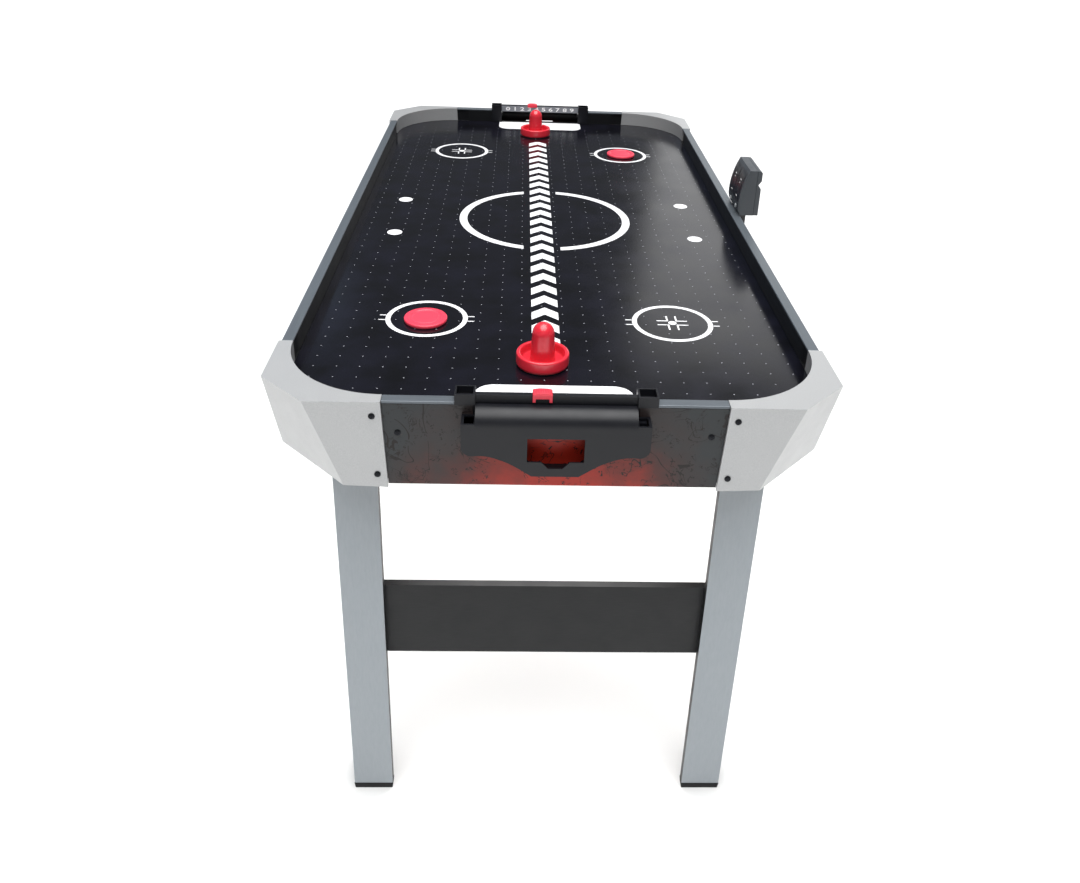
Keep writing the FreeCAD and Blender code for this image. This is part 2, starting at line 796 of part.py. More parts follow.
def make_bottom_board():
    """The thin board that closes the air chamber, cut away round the legs."""
    half_x = "side_in - fit_gap"
    half_y = "end_in - fit_gap"
    board = box((f"-({half_x})", half_x), (f"-({half_y})", half_y), ("floor_board_low", "floor_board_top"))
    corner = box(("leg_in_x - fit_gap", "cap_x"), ("leg_in_y - fit_gap", "cap_y"),
                 ("floor_board_low - overrun", "floor_board_top + overrun"))
    intake = cylinder("intake_radius", ("0", "0", "floor_board_low - overrun"),
                      "floor_board_thickness + 2 * overrun")
    node(cut(board, [*four_copies(corner), intake]), "bottom_board")


def make_battens():
    """Strips under the edges of the playfield."""
    side_end = "leg_in_y - block_reach - fit_gap"
    heights = ("play_bottom - batten_height", "play_bottom")
    side = box(("side_in - batten_width", "side_in"), (f"-({side_end})", side_end), heights)
    end_end = "leg_in_x - block_reach - fit_gap"
    end = box((f"-({end_end})", end_end), ("end_in - batten_width", "end_in"), heights)
    bore = cylinder("screw_head_radius + 1", (BOX_SCREW_X, "end_in - batten_width - overrun", BOX_SCREW_Z),
                    "batten_width + 2 * overrun", "y")
    end = cut(end, with_mirror([bore], "x"))
    node(group([side, mirrored(side, "x"), end, mirrored(end, "y")]), "support_battens")


# ---------------------------------------------------------------- legs

def leg_outline(grow):
    """The L of the two leg panels, seen from above."""
    return [
        (f"leg_in_x - ({grow})", f"leg_web_y - ({grow})"),
        (f"leg_web_x - ({grow})", f"leg_web_y - ({grow})"),
        (f"leg_web_x - ({grow})", f"leg_in_y - ({grow})"),
        (f"leg_outer_x + ({grow})", f"leg_in_y - ({grow})"),
        (f"leg_outer_x + ({grow})", f"leg_outer_y + ({grow})"),
        (f"leg_in_x - ({grow})", f"leg_outer_y + ({grow})"),
    ]


def make_legs():
    owner = body("Leg")
    pad(owner, "XY_Plane", leg_outline("0"), "foot_height", "play_bottom")
    four_ways(cut(owner, holes_for(LEG_BOLTS + STRETCHER_SCREWS)), "leg")


def make_feet():
    """A moulded shoe under each leg, a little narrower at the floor."""
    owner = body("Foot")
    sketches = []
    for grow, level in (("foot_lip - foot_taper", "0"), ("foot_lip", "foot_height")):
        sketch = sketch_on(owner, "XY_Plane", level)
        outline(sketch, leg_outline(grow))
        sketches.append(sketch)
    loft = owner.newObject("PartDesign::AdditiveLoft", "Loft")
    loft.Profile = sketches[0]
    loft.Sections = [sketches[1]]
    loft.Ruled = True
    doc.recompute()
    four_ways(owner, "foot")


def make_stretchers():
    half = "leg_web_x - fit_gap"
    y = ("leg_web_y - fit_gap - stretcher_thickness", "leg_web_y - fit_gap")
    board = box((f"-({half})", half), y, ("stretcher_low", "stretcher_high"))
    both_ends(cut(board, with_mirror(holes_for(STRETCHER_SCREWS), "x")), "stretcher")


# ---------------------------------------------------------------- goals

def make_goal_frames():
    """Two open square posts, the plates below them, and the bar between them."""
    owner = body("GoalFrame")
    for side in (1, -1):
        def x(words):
            return f"{side} * ({words})"
        across = (x("goal_half_width"), x("post_out"))
        over_rail = "table_height + fit_gap"
        pad(owner, "XY_Plane", rectangle(across, ("flange_y", "cap_y")), "table_height + fit_gap / 2",
            "post_top", name="Post")
        pad(owner, "XY_Plane", rectangle(across, ("flange_y", "end_in - fit_gap")), "play_height + fit_gap",
            over_rail, name="Plate")
        jamb = (x("goal_half_width"), x("goal_half_width + jamb_thickness"))
        pad(owner, "XY_Plane", rectangle(jamb, ("flange_y", "end_out")), "play_height + fit_gap", over_rail,
            name="Jamb")
        pad(owner, "XY_Plane", rectangle(across, ("end_out + fit_gap", "cap_y")), "table_height - lip_drop",
            over_rail, name="Lip")
        inside = (x("goal_half_width + post_wall"), x("post_out - post_wall"))
        pocket(owner, "XY_Plane", rectangle(inside, ("flange_y + post_wall", "cap_y - post_wall")),
               "table_height + post_wall", "post_top + overrun", name="Socket")
    pad(owner, "YZ_Plane", rectangle(("bar_in_y", "bar_out_y"), ("bar_low", "bar_top")),
        "-(goal_half_width + bar_seat)", "goal_half_width + bar_seat", name="Bar")
    both_ends(owner, "goal_frame")


def make_score_strips():
    """The flat strip of digits on the table side of each bar."""
    strip = box(("-(goal_half_width - fit_gap)", "goal_half_width - fit_gap"), ("strip_y", "bar_in_y"),
                ("bar_low + strip_margin_low", "bar_top - strip_margin_high"))
    both_ends(strip, "score_strip")


def box_outline(inset, top_inset):
    """Front outline of a puck box: hood above, wings beside it, and a swept lower edge."""
    half = f"(box_half_width - {inset})"
    hood = f"(hood_half_width - {inset})"
    low = f"(box_bottom + {inset})"
    knee = f"(box_corner_height + {inset})"
    right = [
        (f"box_foot_half_width - {inset} / 2", low),
        (f"box_foot_half_width + box_hollow_run - {inset} / 2", f"{low} + box_hollow_rise"),
        (f"{half} - box_sweep_end", f"{knee} - box_sweep_drop"),
        (f"{half} - box_knee", knee),
        (half, f"{knee} + box_knee"),
        (half, f"wing_top - {top_inset}"),
        (hood, f"wing_top - {top_inset}"),
        (hood, f"box_top - {top_inset}"),
    ]
    left = [(f"-({x})", z) for x, z in reversed(right)]
    return right + left


def box_solid(name, inset, low_y, high_y):
    """A prism of the box's outline, its hood rounded off, with every wall moved in by inset."""
    owner = body(name)
    # The XZ plane faces -Y, so its heights are counted from the far end back.
    pad(owner, "XZ_Plane", box_outline(inset, inset), f"-({high_y})", f"-({low_y})", arcs_for(inset))
    top = f"box_top - {inset}"
    radius = f"hood_radius - {inset}"
    scrap = [
        (f"{high_y} - ({radius})", top),
        (f"{high_y}", f"{top} - ({radius})"),
        (f"{high_y} + overrun", f"{top} - ({radius})"),
        (f"{high_y} + overrun", f"{top} + overrun"),
        (f"{high_y} - ({radius})", f"{top} + overrun"),
    ]
    half = f"(hood_half_width - {inset})"
    pocket(owner, "YZ_Plane", scrap, f"-{half}", half, {0: (radius, "right")}, "HoodRound")
    return owner


def arcs_for(inset):
    """Radii of the swept lower edge, for the outline moved in by inset."""
    hollow = f"box_hollow_radius + {inset}"
    sweep = f"box_sweep_radius + {inset}"
    knee = f"box_knee_radius - {inset} / 2"
    return {1: (hollow, "right"), 2: (sweep, "right"), 3: (knee, "left"),
            11: (knee, "left"), 12: (sweep, "right"), 13: (hollow, "right")}


def make_puck_boxes():
    """The moulded box outside each goal that catches the puck."""
    outer = box_solid("PuckBox", "0", "end_out + fit_gap", "box_out_y")
    pocket(outer, "XZ_Plane", window_outline(), "-(box_out_y + overrun)", "-(box_out_y - box_wall - overrun)",
           name="Window")
    for side in (1, -1):
        across = (f"{side} * (hood_half_width + pocket_hood_gap)", f"{side} * (box_half_width - pocket_rim)")
        pocket(outer, "XY_Plane", rectangle(across, ("end_out + pocket_rim", "box_out_y - pocket_rim")),
               "wing_top - box_wall - overrun", "wing_top + overrun", name="WingPocket")
    hollow = box_solid("BoxHollow", "box_wall", "end_out", "box_out_y - box_wall")
    boss = cylinder("screw_head_radius", (BOX_SCREW_X, "end_out + fit_gap", BOX_SCREW_Z),
                    "box_depth - box_wall", "y")
    hole = cylinder("screw_hole", (BOX_SCREW_X, "end_out", BOX_SCREW_Z), BOX_SCREW_GRIP, "y")
    shell = fuse([cut(outer, [hollow]), *with_mirror([boss], "x")])
    both_ends(cut(shell, with_mirror([hole], "x")), "puck_box")


def window_outline():
    """The window, with a finger notch in the middle of its lower edge."""
    return [
        ("window_half_width", "window_low"),
        ("window_half_width", "window_high"),
        ("-window_half_width", "window_high"),
        ("-window_half_width", "window_low"),
        ("-notch_half_width", "window_low"),
        ("-(notch_half_width / 2)", "window_low - notch_depth"),
        ("notch_half_width / 2", "window_low - notch_depth"),
        ("notch_half_width", "window_low"),
    ]


def make_sliders():
    """A saddle that rides on each score bar and marks the score."""
    for end, centre, sign in (("far", "far_slider_x", 1), ("near", "near_slider_x", -1)):
        owner = body("Slider" + end)
        start = f"{centre} - slider_width / 2"
        finish = f"{centre} + slider_width / 2"
        inside = f"{sign} * (strip_y - fit_gap)"
        inside_skin = f"{sign} * (strip_y - fit_gap - slider_wall)"
        outside = f"{sign} * (bar_out_y + fit_gap)"
        outside_skin = f"{sign} * (bar_out_y + fit_gap + slider_wall)"
        # section across the bar: an upside-down U
        section = [
            (inside_skin, "bar_top + slider_rise"),
            (inside_skin, "bar_top - slider_inner_leg"),
            (inside, "bar_top - slider_inner_leg"),
            (inside, "bar_top + fit_gap"),
            (outside, "bar_top + fit_gap"),
            (outside, "bar_top - slider_outer_leg"),
            (outside_skin, "bar_top - slider_outer_leg"),
            (outside_skin, "bar_top + slider_rise"),
        ]
        pad(owner, "YZ_Plane", section, start, finish)
        across = (outside, f"{sign} * (bar_out_y + fit_gap + slider_wall + overrun)")
        arch = box((f"{start} + slider_foot", f"{finish} - slider_foot"), across if sign > 0 else across[::-1],
                   ("bar_top - slider_outer_leg - overrun", "bar_top - slider_inner_leg"))
        node(cut(owner, [arch]), f"score_slider_{end}")


# ---------------------------------------------------------------- mallets and pucks

def mallet_profile():
    """Half section of a mallet: dished base, upturned rim, and a hollow knob with a domed top."""
    rim = "play_height + mallet_rim_height"
    dome = "play_height + mallet_height - knob_top_radius"
    floor = "felt_top + mallet_floor"
    return [
        ("knob_top_radius - mallet_wall", dome),
        ("knob_radius - mallet_wall", floor),
        ("knob_radius - mallet_wall", "felt_top"),
        ("mallet_radius - mallet_edge", "felt_top"),
        ("mallet_radius", "felt_top + mallet_foot_rise"),
        ("mallet_radius", f"{rim} - mallet_edge"),
        ("mallet_radius - mallet_edge", rim),
        ("mallet_radius - mallet_rim_width", f"{rim} - mallet_edge / 2"),
        ("mallet_radius - mallet_dish", floor),
        ("knob_radius + knob_root", floor),
        ("knob_radius", f"{floor} + knob_root"),
        ("knob_top_radius", dome),
        ("0", f"{dome} + knob_top_radius"),
        ("0", f"{dome} + knob_top_radius - mallet_wall"),
    ]


def make_mallets():
    """The two mallets, each with a ring of felt glued below."""
    domes = {11: ("knob_top_radius", "left"), 13: ("knob_top_radius - mallet_wall", "right")}
    for end in ("near", "far"):
        owner = body("Mallet" + end)
        revolve(owner, mallet_profile(), domes)
        place(owner, f"{end}_mallet_x", f"{end}_mallet_y", "0")
        node(owner, f"mallet_{end}")
        felt = cylinder("felt_radius", (f"{end}_mallet_x", f"{end}_mallet_y", "play_height"), "felt_thickness")
        node(felt, f"mallet_felt_{end}")


def make_pucks():
    """Two flat discs with a raised rim, one on each half of the playfield."""
    top = "play_height + puck_thickness"
    profile = [
        ("0", "play_height"),
        ("puck_radius - puck_edge", "play_height"),
        ("puck_radius", "play_height + puck_edge"),
        ("puck_radius", f"{top} - puck_edge"),
        ("puck_radius - puck_edge", top),
        ("puck_land_radius", top),
        ("puck_recess_radius", f"{top} - puck_recess"),
        ("0", f"{top} - puck_recess"),
    ]
    for side, x, y in (("left", "-puck_x", "near_puck_y"), ("right", "puck_x", "far_puck_y")):
        owner = body("Puck" + side)
        revolve(owner, profile)
        place(owner, x, y, "0")
        node(owner, f"puck_{side}")


# ---------------------------------------------------------------- blower

def upright(radius, low, high):
    """A cylinder on the blower's axis between two heights."""
    return cylinder(radius, ("0", "0", low), f"({high}) - ({low})")


def make_blower():
    """A squirrel-cage fan that draws air through the floor board and fills the chamber."""
    low = "floor_board_top"
    roof = "blower_top - blower_wall"
    shell = upright("blower_radius", low, "blower_top")
    inside = upright("blower_radius - blower_wall", f"{low} + blower_wall", roof)
    eye = upright("intake_radius", f"{low} - overrun", f"{low} + blower_wall + overrun")
    outlet = box(("0", "blower_radius + overrun"), ("outlet_start", "outlet_end"),
                 (f"{low} + outlet_margin", "blower_top - outlet_margin"))
    seat = upright("shaft_radius + motor_nose + motor_nose_gap", f"{roof} - overrun", "blower_top + overrun")
    node(cut(shell, [inside, eye, outlet, seat]), "blower_housing")

    motor = upright("motor_radius", "blower_top", "blower_top + motor_length")
    nose = upright("shaft_radius + motor_nose", roof, "blower_top")
    shaft_top = "blower_top + shaft_in_motor"
    bore = upright("shaft_radius + shaft_fit", f"{roof} - overrun", f"{shaft_top} + overrun")
    node(cut(fuse([motor, nose]), [bore]), "blower_motor")
    node(upright("shaft_radius", f"{low} + shaft_rise", shaft_top), "motor_shaft")
    make_impeller(low, roof)


def make_impeller(low, roof):
    """Back plate, hub, front ring and a ring of blades."""
    base = f"{low} + blower_wall + impeller_gap"
    top = f"{roof} - impeller_gap"
    plate = upright("impeller_radius", f"{top} - impeller_plate", top)
    ring = cut(upright("impeller_radius", base, f"{base} + impeller_plate"),
               [upright("impeller_eye", f"{base} - overrun", f"{base} + impeller_plate + overrun")])
    hub = upright("hub_radius", f"{low} + hub_rise", top)
    blades = []
    reach = ("impeller_eye", "impeller_radius - blade_thickness")
    for index in range(int(number("blade_count"))):
        blade = box(reach, ("0", "blade_thickness"), (base, top))
        turned = group([blade], "Blade")
        turned.setExpression("Placement.Rotation.Angle", formula(f"360 / blade_count * {index} + 0.001"))
        turned.Placement.Rotation.Axis = FreeCAD.Vector(0, 0, 1)
        blades.append(turned)
    bore = upright("shaft_radius", f"{low} + shaft_rise - overrun", "blower_top")
    node(cut(fuse([plate, ring, hub, *blades]), [bore]), "blower_impeller")


def make_grille():
    """A round guard below the intake, with concentric slots crossed by two ribs."""
    low = "floor_board_low - grille_thickness"
    disc = upright("grille_radius", low, "floor_board_low")
    slots = []
    for ring in range(int(number("grille_slots"))):
        start = f"slot_first + {ring} * slot_pitch"
        outer = upright(f"{start} + slot_width", f"{low} - overrun", "floor_board_low + overrun")
        inner = upright(start, f"{low} - 2 * overrun", "floor_board_low + 2 * overrun")
        slots.append(cut(outer, [inner]))
    rib = ("-grille_rib", "grille_rib")
    reach = ("-grille_radius", "grille_radius")
    heights = (f"{low} - 3 * overrun", "floor_board_low + 3 * overrun")
    slots = cut(fuse(slots), [box(reach, rib, heights), box(rib, reach, heights)])
    node(cut(disc, [slots]), "intake_grille")


# ---------------------------------------------------------------- switch and inlet

def around(centre, half):
    return (f"{centre} - ({half})", f"{centre} + ({half})")


def control_holes():
    """Holes in the left board for the switch and the power inlet."""
    switch = box(("-side_out - overrun", "-side_in + overrun"),
                 around("switch_y", "switch_half_width + fit_gap"),
                 around("control_z", "switch_half_height + fit_gap"))
    inlet = cylinder("inlet_radius", ("-side_out - overrun", "inlet_y", "control_z"),
                     "board_thickness + 2 * overrun", "x")
    return fuse([switch, inlet])


def make_controls():
    """A rocker that turns on trunnions in its bezel, and the round inlet for the power adapter's plug."""
    flange = box(("-side_out - bezel_thickness", "-side_out"),
                 around("switch_y", "switch_half_width + bezel_lip"),
                 around("control_z", "switch_half_height + bezel_lip_high"))
    frame = box(("-side_out - bezel_thickness / 2", "-side_out + switch_depth"),
                around("switch_y", "switch_half_width"), around("control_z", "switch_half_height"))
    opening = box(("-side_out - bezel_thickness - overrun", "-side_out + switch_depth - collar_thickness"),
                  around("switch_y", "switch_half_width - bezel_wall"),
                  around("control_z", "switch_half_height - bezel_wall_high"))
    pivot_x = "-side_out + rocker_pivot"
    bearing = cylinder("trunnion_radius + fit_gap / 3", (pivot_x, "switch_y - switch_half_width - overrun",
                       "control_z"), "2 * (switch_half_width + overrun)", "y")
    node(cut(fuse([flange, frame]), [opening, bearing]), "switch_bezel")

    owner = body("Rocker")
    section = [
        ("-rocker_face", "-rocker_half_length"),
        ("rocker_depth", "-rocker_waist"),
        ("rocker_depth", "rocker_waist"),
        ("-rocker_face", "rocker_half_length"),
        ("-rocker_dish", "0"),
    ]
    pad(owner, "XZ_Plane", section, "-rocker_half_width", "rocker_half_width", name="Cap")
    owner.Placement = FreeCAD.Placement(FreeCAD.Vector(), FreeCAD.Rotation(FreeCAD.Vector(0, 1, 0), 1))
    owner.setExpression("Placement.Rotation.Angle", formula("rocker_angle"))
    place(owner, pivot_x, "switch_y", "control_z")
    trunnion = cylinder("trunnion_radius", (pivot_x, "switch_y - switch_half_width", "control_z"),
                        "2 * switch_half_width", "y")
    node(fuse([owner, trunnion]), "switch_rocker")

    face = "-side_out - collar_thickness"
    collar = cylinder("collar_radius", (face, "inlet_y", "control_z"), "collar_thickness", "x")
    barrel = cylinder("inlet_radius - fit_gap", ("-side_out - overrun", "inlet_y", "control_z"),
                      "board_thickness - collar_thickness", "x")
    socket = cylinder("jack_radius", (f"{face} - overrun", "inlet_y", "control_z"),
                      "collar_thickness + jack_depth + overrun", "x")
    pin = cylinder("jack_pin", ("-side_out", "inlet_y", "control_z"), "jack_depth + overrun", "x")
    node(fuse([cut(fuse([collar, barrel]), [socket]), pin]), "dc_inlet")


# ---------------------------------------------------------------- electronic scorer

def scorer_section(inset):
    """The case's side outline: a rounded face towards the table, and a flat grooved back."""
    back = f"scorer_back_x - ({inset})"
    return [
        (f"scorer_foot_x + ({inset})", f"scorer_low + ({inset})"),
        (back, f"scorer_low + ({inset})"),
        (back, f"groove_z - groove_half_height - ({inset})"),
        (f"{back} - groove_depth", "groove_z"),
        (back, f"groove_z + groove_half_height + ({inset})"),
        (back, f"scorer_high - scorer_edge - ({inset})"),
        (f"{back} - scorer_edge", f"scorer_high - ({inset})"),
        (f"scorer_top_x + ({inset})", f"scorer_high - ({inset})"),
        (f"scorer_bulge_x + ({inset})", "scorer_bulge_z"),
    ]


def scorer_pad(owner, inset, half):
    """The section carried across the case. The XZ plane faces -Y."""
    arcs = {7: ("scorer_face_radius", "left"), 8: ("scorer_chin_radius", "left")}
    return pad(owner, "XZ_Plane", scorer_section(inset), f"-({half})", half, arcs)


def window_tool(gap):
    """The block that the display window is cut from."""
    return box(("scorer_bulge_x - overrun", "scorer_top_x + scorer_edge"),
               around("0", f"scorer_half_width - lens_margin + {gap}"),
               (f"scorer_low + lens_rise - {gap}", f"scorer_high - lens_margin + {gap}"))


def make_scorer():
    """The score unit that stands on a bracket beside the rail."""
    outer = body("ScorerCase")
    scorer_pad(outer, "0", "scorer_half_width")
    inner = body("ScorerHollow")
    scorer_pad(inner, "scorer_wall", "scorer_half_width - scorer_wall")
    split = "scorer_back_x - groove_depth - scorer_edge"
    back_space = box((split, "scorer_back_x + overrun"), around("0", "scorer_half_width + overrun"),
                     ("scorer_low - overrun", "scorer_high + overrun"))
    button_z = "scorer_low + button_rise"
    holes = []
    for sign, side in ((-1, "near"), (1, "far")):
        centre_y = f"{sign} * button_half_pitch"
        holes.append(cylinder("button_radius + fit_gap", ("scorer_bulge_x - 4 * overrun", centre_y, button_z),
                              "2 * button_length", "x"))
        face = "scorer_bulge_x - button_stand"
        cap = cylinder("button_radius", (face, centre_y, button_z), "button_length", "x")
        flange = cylinder("button_radius + button_flange", (f"{face} + button_length - fit_gap / 2", centre_y,
                          button_z), "button_flange", "x")
        node(fuse([cap, flange]), f"scorer_button_{side}")
    shell = cut(outer, [inner], "ScorerShell")
    node(cut(shell, [back_space, window_tool("fit_gap / 3"), *holes]), "scorer_case")
    node(common(shell, back_space), "scorer_back")
    lens = common(outer, window_tool("0"))
    node(cut(lens, [inner]), "scorer_window")
    board_x = "scorer_top_x + circuit_depth"
    board = box((board_x, f"{board_x} + circuit_thickness"), around("0", "scorer_half_width - circuit_margin"),
                ("scorer_low + circuit_margin", "scorer_high - circuit_margin"))
    node(board, "scorer_circuit_board")


def make_bracket():
    """A folded bracket: a foot screwed to the board, two cheeks and a top that carries the scorer."""
    plate = box(("side_out", "side_out + bracket_depth"), around("0", "bracket_half_width"),
                ("bracket_low", "scorer_low"))
    hollow = box(("side_out - overrun", "side_out + bracket_depth - bracket_wall"),
                 around("0", "bracket_half_width - bracket_wall"),
                 ("bracket_low + bracket_foot", "scorer_low - bracket_wall"))
    node(cut(plate, [hollow, *holes_for(BRACKET_SCREWS)]), "scorer_bracket")


# ---------------------------------------------------------------- wiring and sensors

def make_sensors():
    """Light-gate housings just outside each goal mouth, inside the puck box."""
    start = "goal_half_width + sensor_inset"
    sensor = box((start, f"{start} + sensor_width"), ("end_out + fit_gap", "end_out + sensor_depth"),
                 ("play_height + sensor_rise", "play_height + sensor_rise + sensor_height"))
    node(group(four_copies(sensor)), "goal_sensors")


def make_wiring():
    """The motor's lead: from the inlet past the switch, along the chamber and up to the fan."""
    bend = number("lead_bend")
    level = number("control_z")
    along = number("lead_inset - side_in")
    barrel_end = number("-side_out - overrun + board_thickness - collar_thickness")
    start = FreeCAD.Vector(barrel_end, number("inlet_y"), level)
    turns = [
        start,
        FreeCAD.Vector(along, start.y, level),
        FreeCAD.Vector(along, 0, level),
        FreeCAD.Vector(-number("motor_radius"), 0, level),
    ]
    edges = []
    cursor = start
    for before, corner, after in zip(turns, turns[1:], turns[2:]):
        come = (corner - before).normalize()
        leave = (after - corner).normalize()
        first = corner - come * bend
        last = corner + leave * bend
        middle = corner + (leave - come).normalize() * bend * (math.sqrt(2) - 1)
        edges.append(Part.LineSegment(cursor, first).toShape())
        edges.append(Part.Arc(first, middle, last).toShape())
        cursor = last
    edges.append(Part.LineSegment(cursor, turns[-1]).toShape())
    path = Part.Wire(edges)
    ring = Part.Wire(Part.Circle(start, FreeCAD.Vector(1, 0, 0), number("lead_radius")).toShape())
    lead = doc.addObject("Part::Feature", "Lead")
    lead.Shape = path.makePipeShell([ring], True, False)
    print("lead length", round(path.Length, 1), "bend radius", bend)
    node(lead, "motor_lead")


# ---------------------------------------------------------------- fasteners

def make_fasteners():
    """All screws and bolts, one node for each kind."""
    bracket_screws = [screw(*spot) for spot in BRACKET_SCREWS]
    node(group(four_screws(CAP_SCREWS + BOARD_SCREWS) + bracket_screws), "cabinet_screws")
    node(group(four_screws(LEG_BOLTS)), "leg_bolts")
    node(group(four_screws(BOX_SCREWS + STRETCHER_SCREWS)), "wood_screws")


# ---------------------------------------------------------------- build and write

def check_and_write():
    doc.recompute()
    for item in doc.Objects:
        bad = [word for word in item.State if word in ("Invalid", "Error")]
        assert not bad, f"{item.Name} ({item.Label}) is {bad}"
    os.makedirs("parts", exist_ok=True)
    for item in nodes:
        shape = item.Shape
        assert not shape.isNull() and shape.isValid(), f"{item.Label} has no valid shape"
        assert shape.Solids and all(solid.Volume > 0 for solid in shape.Solids), f"{item.Label} is not solid"
        shape.exportStep(os.path.join("parts", item.Label + ".step"))
    print(len(nodes), "nodes written")


fill_sheets()
make_boards()
make_trims()
make_caps()
make_playfield()
make_corner_blocks()
make_bottom_board()
make_battens()
make_legs()
make_feet()
make_stretchers()
make_goal_frames()
make_score_strips()
make_puck_boxes()
make_sliders()
make_mallets()
make_pucks()
make_blower()
make_grille()
make_controls()
make_scorer()
make_bracket()
make_sensors()
make_wiring()
make_fasteners()
check_and_write()
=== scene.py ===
# %% [markdown]
# # An air hockey table, piece by piece
# The frame of this lesson is a finished engineering model of the table: boards, legs, goals, screws.
# Each cell below takes one piece or one finish, says what it is on the real table, how it could be
# made in Blender, and why it is made the way it is. Every length is in metres, in the frame's own axes:
# X across the table, Y along it from the near goal to the far one, Z up from the floor.

# %% Load the frame
import json
import math
import bmesh
import bpy
import numpy as np
from mathutils import Matrix, Vector


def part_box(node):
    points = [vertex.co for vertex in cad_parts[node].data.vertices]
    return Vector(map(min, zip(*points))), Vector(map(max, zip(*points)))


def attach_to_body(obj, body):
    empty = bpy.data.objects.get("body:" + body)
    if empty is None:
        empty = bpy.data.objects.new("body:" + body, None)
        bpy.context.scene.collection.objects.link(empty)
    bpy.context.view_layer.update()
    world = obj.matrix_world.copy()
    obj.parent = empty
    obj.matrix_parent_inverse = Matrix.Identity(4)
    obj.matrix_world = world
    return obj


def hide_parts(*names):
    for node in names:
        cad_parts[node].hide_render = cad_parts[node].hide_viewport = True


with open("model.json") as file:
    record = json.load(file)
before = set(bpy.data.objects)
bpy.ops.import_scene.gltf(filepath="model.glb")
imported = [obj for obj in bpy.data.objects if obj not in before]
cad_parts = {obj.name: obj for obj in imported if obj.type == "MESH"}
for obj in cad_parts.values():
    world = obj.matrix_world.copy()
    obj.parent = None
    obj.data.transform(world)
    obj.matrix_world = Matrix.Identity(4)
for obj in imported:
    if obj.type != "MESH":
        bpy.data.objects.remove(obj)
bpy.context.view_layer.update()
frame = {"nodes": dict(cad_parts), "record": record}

MM = 0.001
RECORD = frame["record"]

# %% [markdown]
# ## Which piece goes where
# The record says which body each node moves with and which finish it has. A new piece that stands for
# a node must follow the same body, so that is looked up once and never typed by hand.

# %% Look up bodies
BODY_OF = {}
for body_name, members in RECORD["behaviour"]["bodies"].items():
    for member in members:
        BODY_OF[member] = body_name


def adopt(piece, node):
    """The piece takes the node's place: same body, and the node is hidden."""
    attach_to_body(piece, BODY_OF[node])
    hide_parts(node)
    return piece


def attach(piece, node):
    """The piece is a detail on the node: it follows its body and leaves it in view."""
    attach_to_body(piece, BODY_OF[node])
    return piece


def middle(node):
    """The middle of a node's box: half the sum of its two corners."""
    low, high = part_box(node)
    return [(a + b) / 2 for a, b in zip(low, high)]


print("bodies:", sorted(set(BODY_OF.values())))

# %% [markdown]
# ## Colour and nodes
# Colours are written as the hex values that a paint chart would give, which are sRGB, while the shader
# works in linear light, so one function turns one into the other. One small function adds a node of any
# kind and fills its inputs from numbers or from other nodes, so a material reads as a chain of steps.

# %% Colours, nodes and shaders


def linear(hex_colour):
    """sRGB to linear: below 0.04045 divide by 12.92, above it ((c + 0.055) / 1.055) to the power 2.4."""
    parts = [int(hex_colour[i:i + 2], 16) / 255 for i in (1, 3, 5)]
    return [c / 12.92 if c <= 0.04045 else ((c + 0.055) / 1.055) ** 2.4 for c in parts] + [1.0]


def fill(tree, item, inputs):
    """Fills a node's inputs. A socket is linked, a node gives its first output in use, the rest are set."""
    for key, value in inputs.items():
        if isinstance(value, bpy.types.Node):
            value = next(socket for socket in value.outputs if socket.enabled)
        if isinstance(value, bpy.types.NodeSocket):
            tree.links.new(value, item.inputs[key])
        else:
            item.inputs[key].default_value = value


def add_node(tree, kind, *values, inputs=None, **settings):
    """Adds a shader node of any kind with its settings, and fills its inputs in order or by name."""
    item = tree.nodes.new("ShaderNode" + kind)
    for key, value in settings.items():
        setattr(item, key, value)
    fill(tree, item, {**dict(enumerate(values)), **(inputs or {})})
    return item


def finish(name, colour, **values):
    """A new material with one Principled shader; values are set on the shader's own sockets."""
    made = bpy.data.materials.new(name)
    made.use_nodes = True
    shader = made.node_tree.nodes["Principled BSDF"]
    shader.inputs["Base Color"].default_value = linear(colour)
    for key, value in values.items():
        shader.inputs[key.replace("_", " ")].default_value = value
    return made, made.node_tree, shader


print("mid grey in linear light", round(linear("#808080")[0], 3))

# %% [markdown]
# ## Patterns
# Every pattern is worked out from a point's own place on the piece, in metres, so that its grain has the
# size of the real one on every piece. Noise gives grain, and noise that is drawn out along one axis gives
# brushed lines or fibres. The same noise then tints the colour, lets the gloss wander and tilts the surface.

# %% Patterns
MIX_A, MIX_B = 6, 7             # the two colour inputs of a Mix node
NOISE_LOW, NOISE_HIGH = 0.3, 0.7    # nearly all of a noise lies between these


def places(tree):
    """A point's place in metres: the whole vector, then its X, Y and Z."""
    vector = add_node(tree, "TexCoord").outputs["Object"]
    return vector, *add_node(tree, "SeparateXYZ", vector).outputs


def grain(tree, vector, size, detail=3.0, roughness=0.55, stretch=(1, 1, 1), distortion=0.0):
    """Noise whose lumps are about size metres wide, drawn out along an axis by stretch."""
    scaled = add_node(tree, "Mapping", vector, inputs={"Scale": [1 / (size * s) for s in stretch]})
    return add_node(tree, "TexNoise", scaled, inputs={
        "Scale": 1.0, "Detail": detail, "Roughness": roughness, "Distortion": distortion})


def two_tone(tree, pattern, dark, light):
    """A colour that goes from dark to light with a noise."""
    share = add_node(tree, "MapRange", pattern, NOISE_LOW, NOISE_HIGH)
    return add_node(tree, "Mix", share, inputs={MIX_A: linear(dark), MIX_B: linear(light)}, data_type="RGBA")


def wandering_gloss(tree, shader, pattern, low, high):
    """Lets roughness wander between two values with a noise."""
    fill(tree, shader, {"Roughness": add_node(tree, "MapRange", pattern, NOISE_LOW, NOISE_HIGH, low, high)})


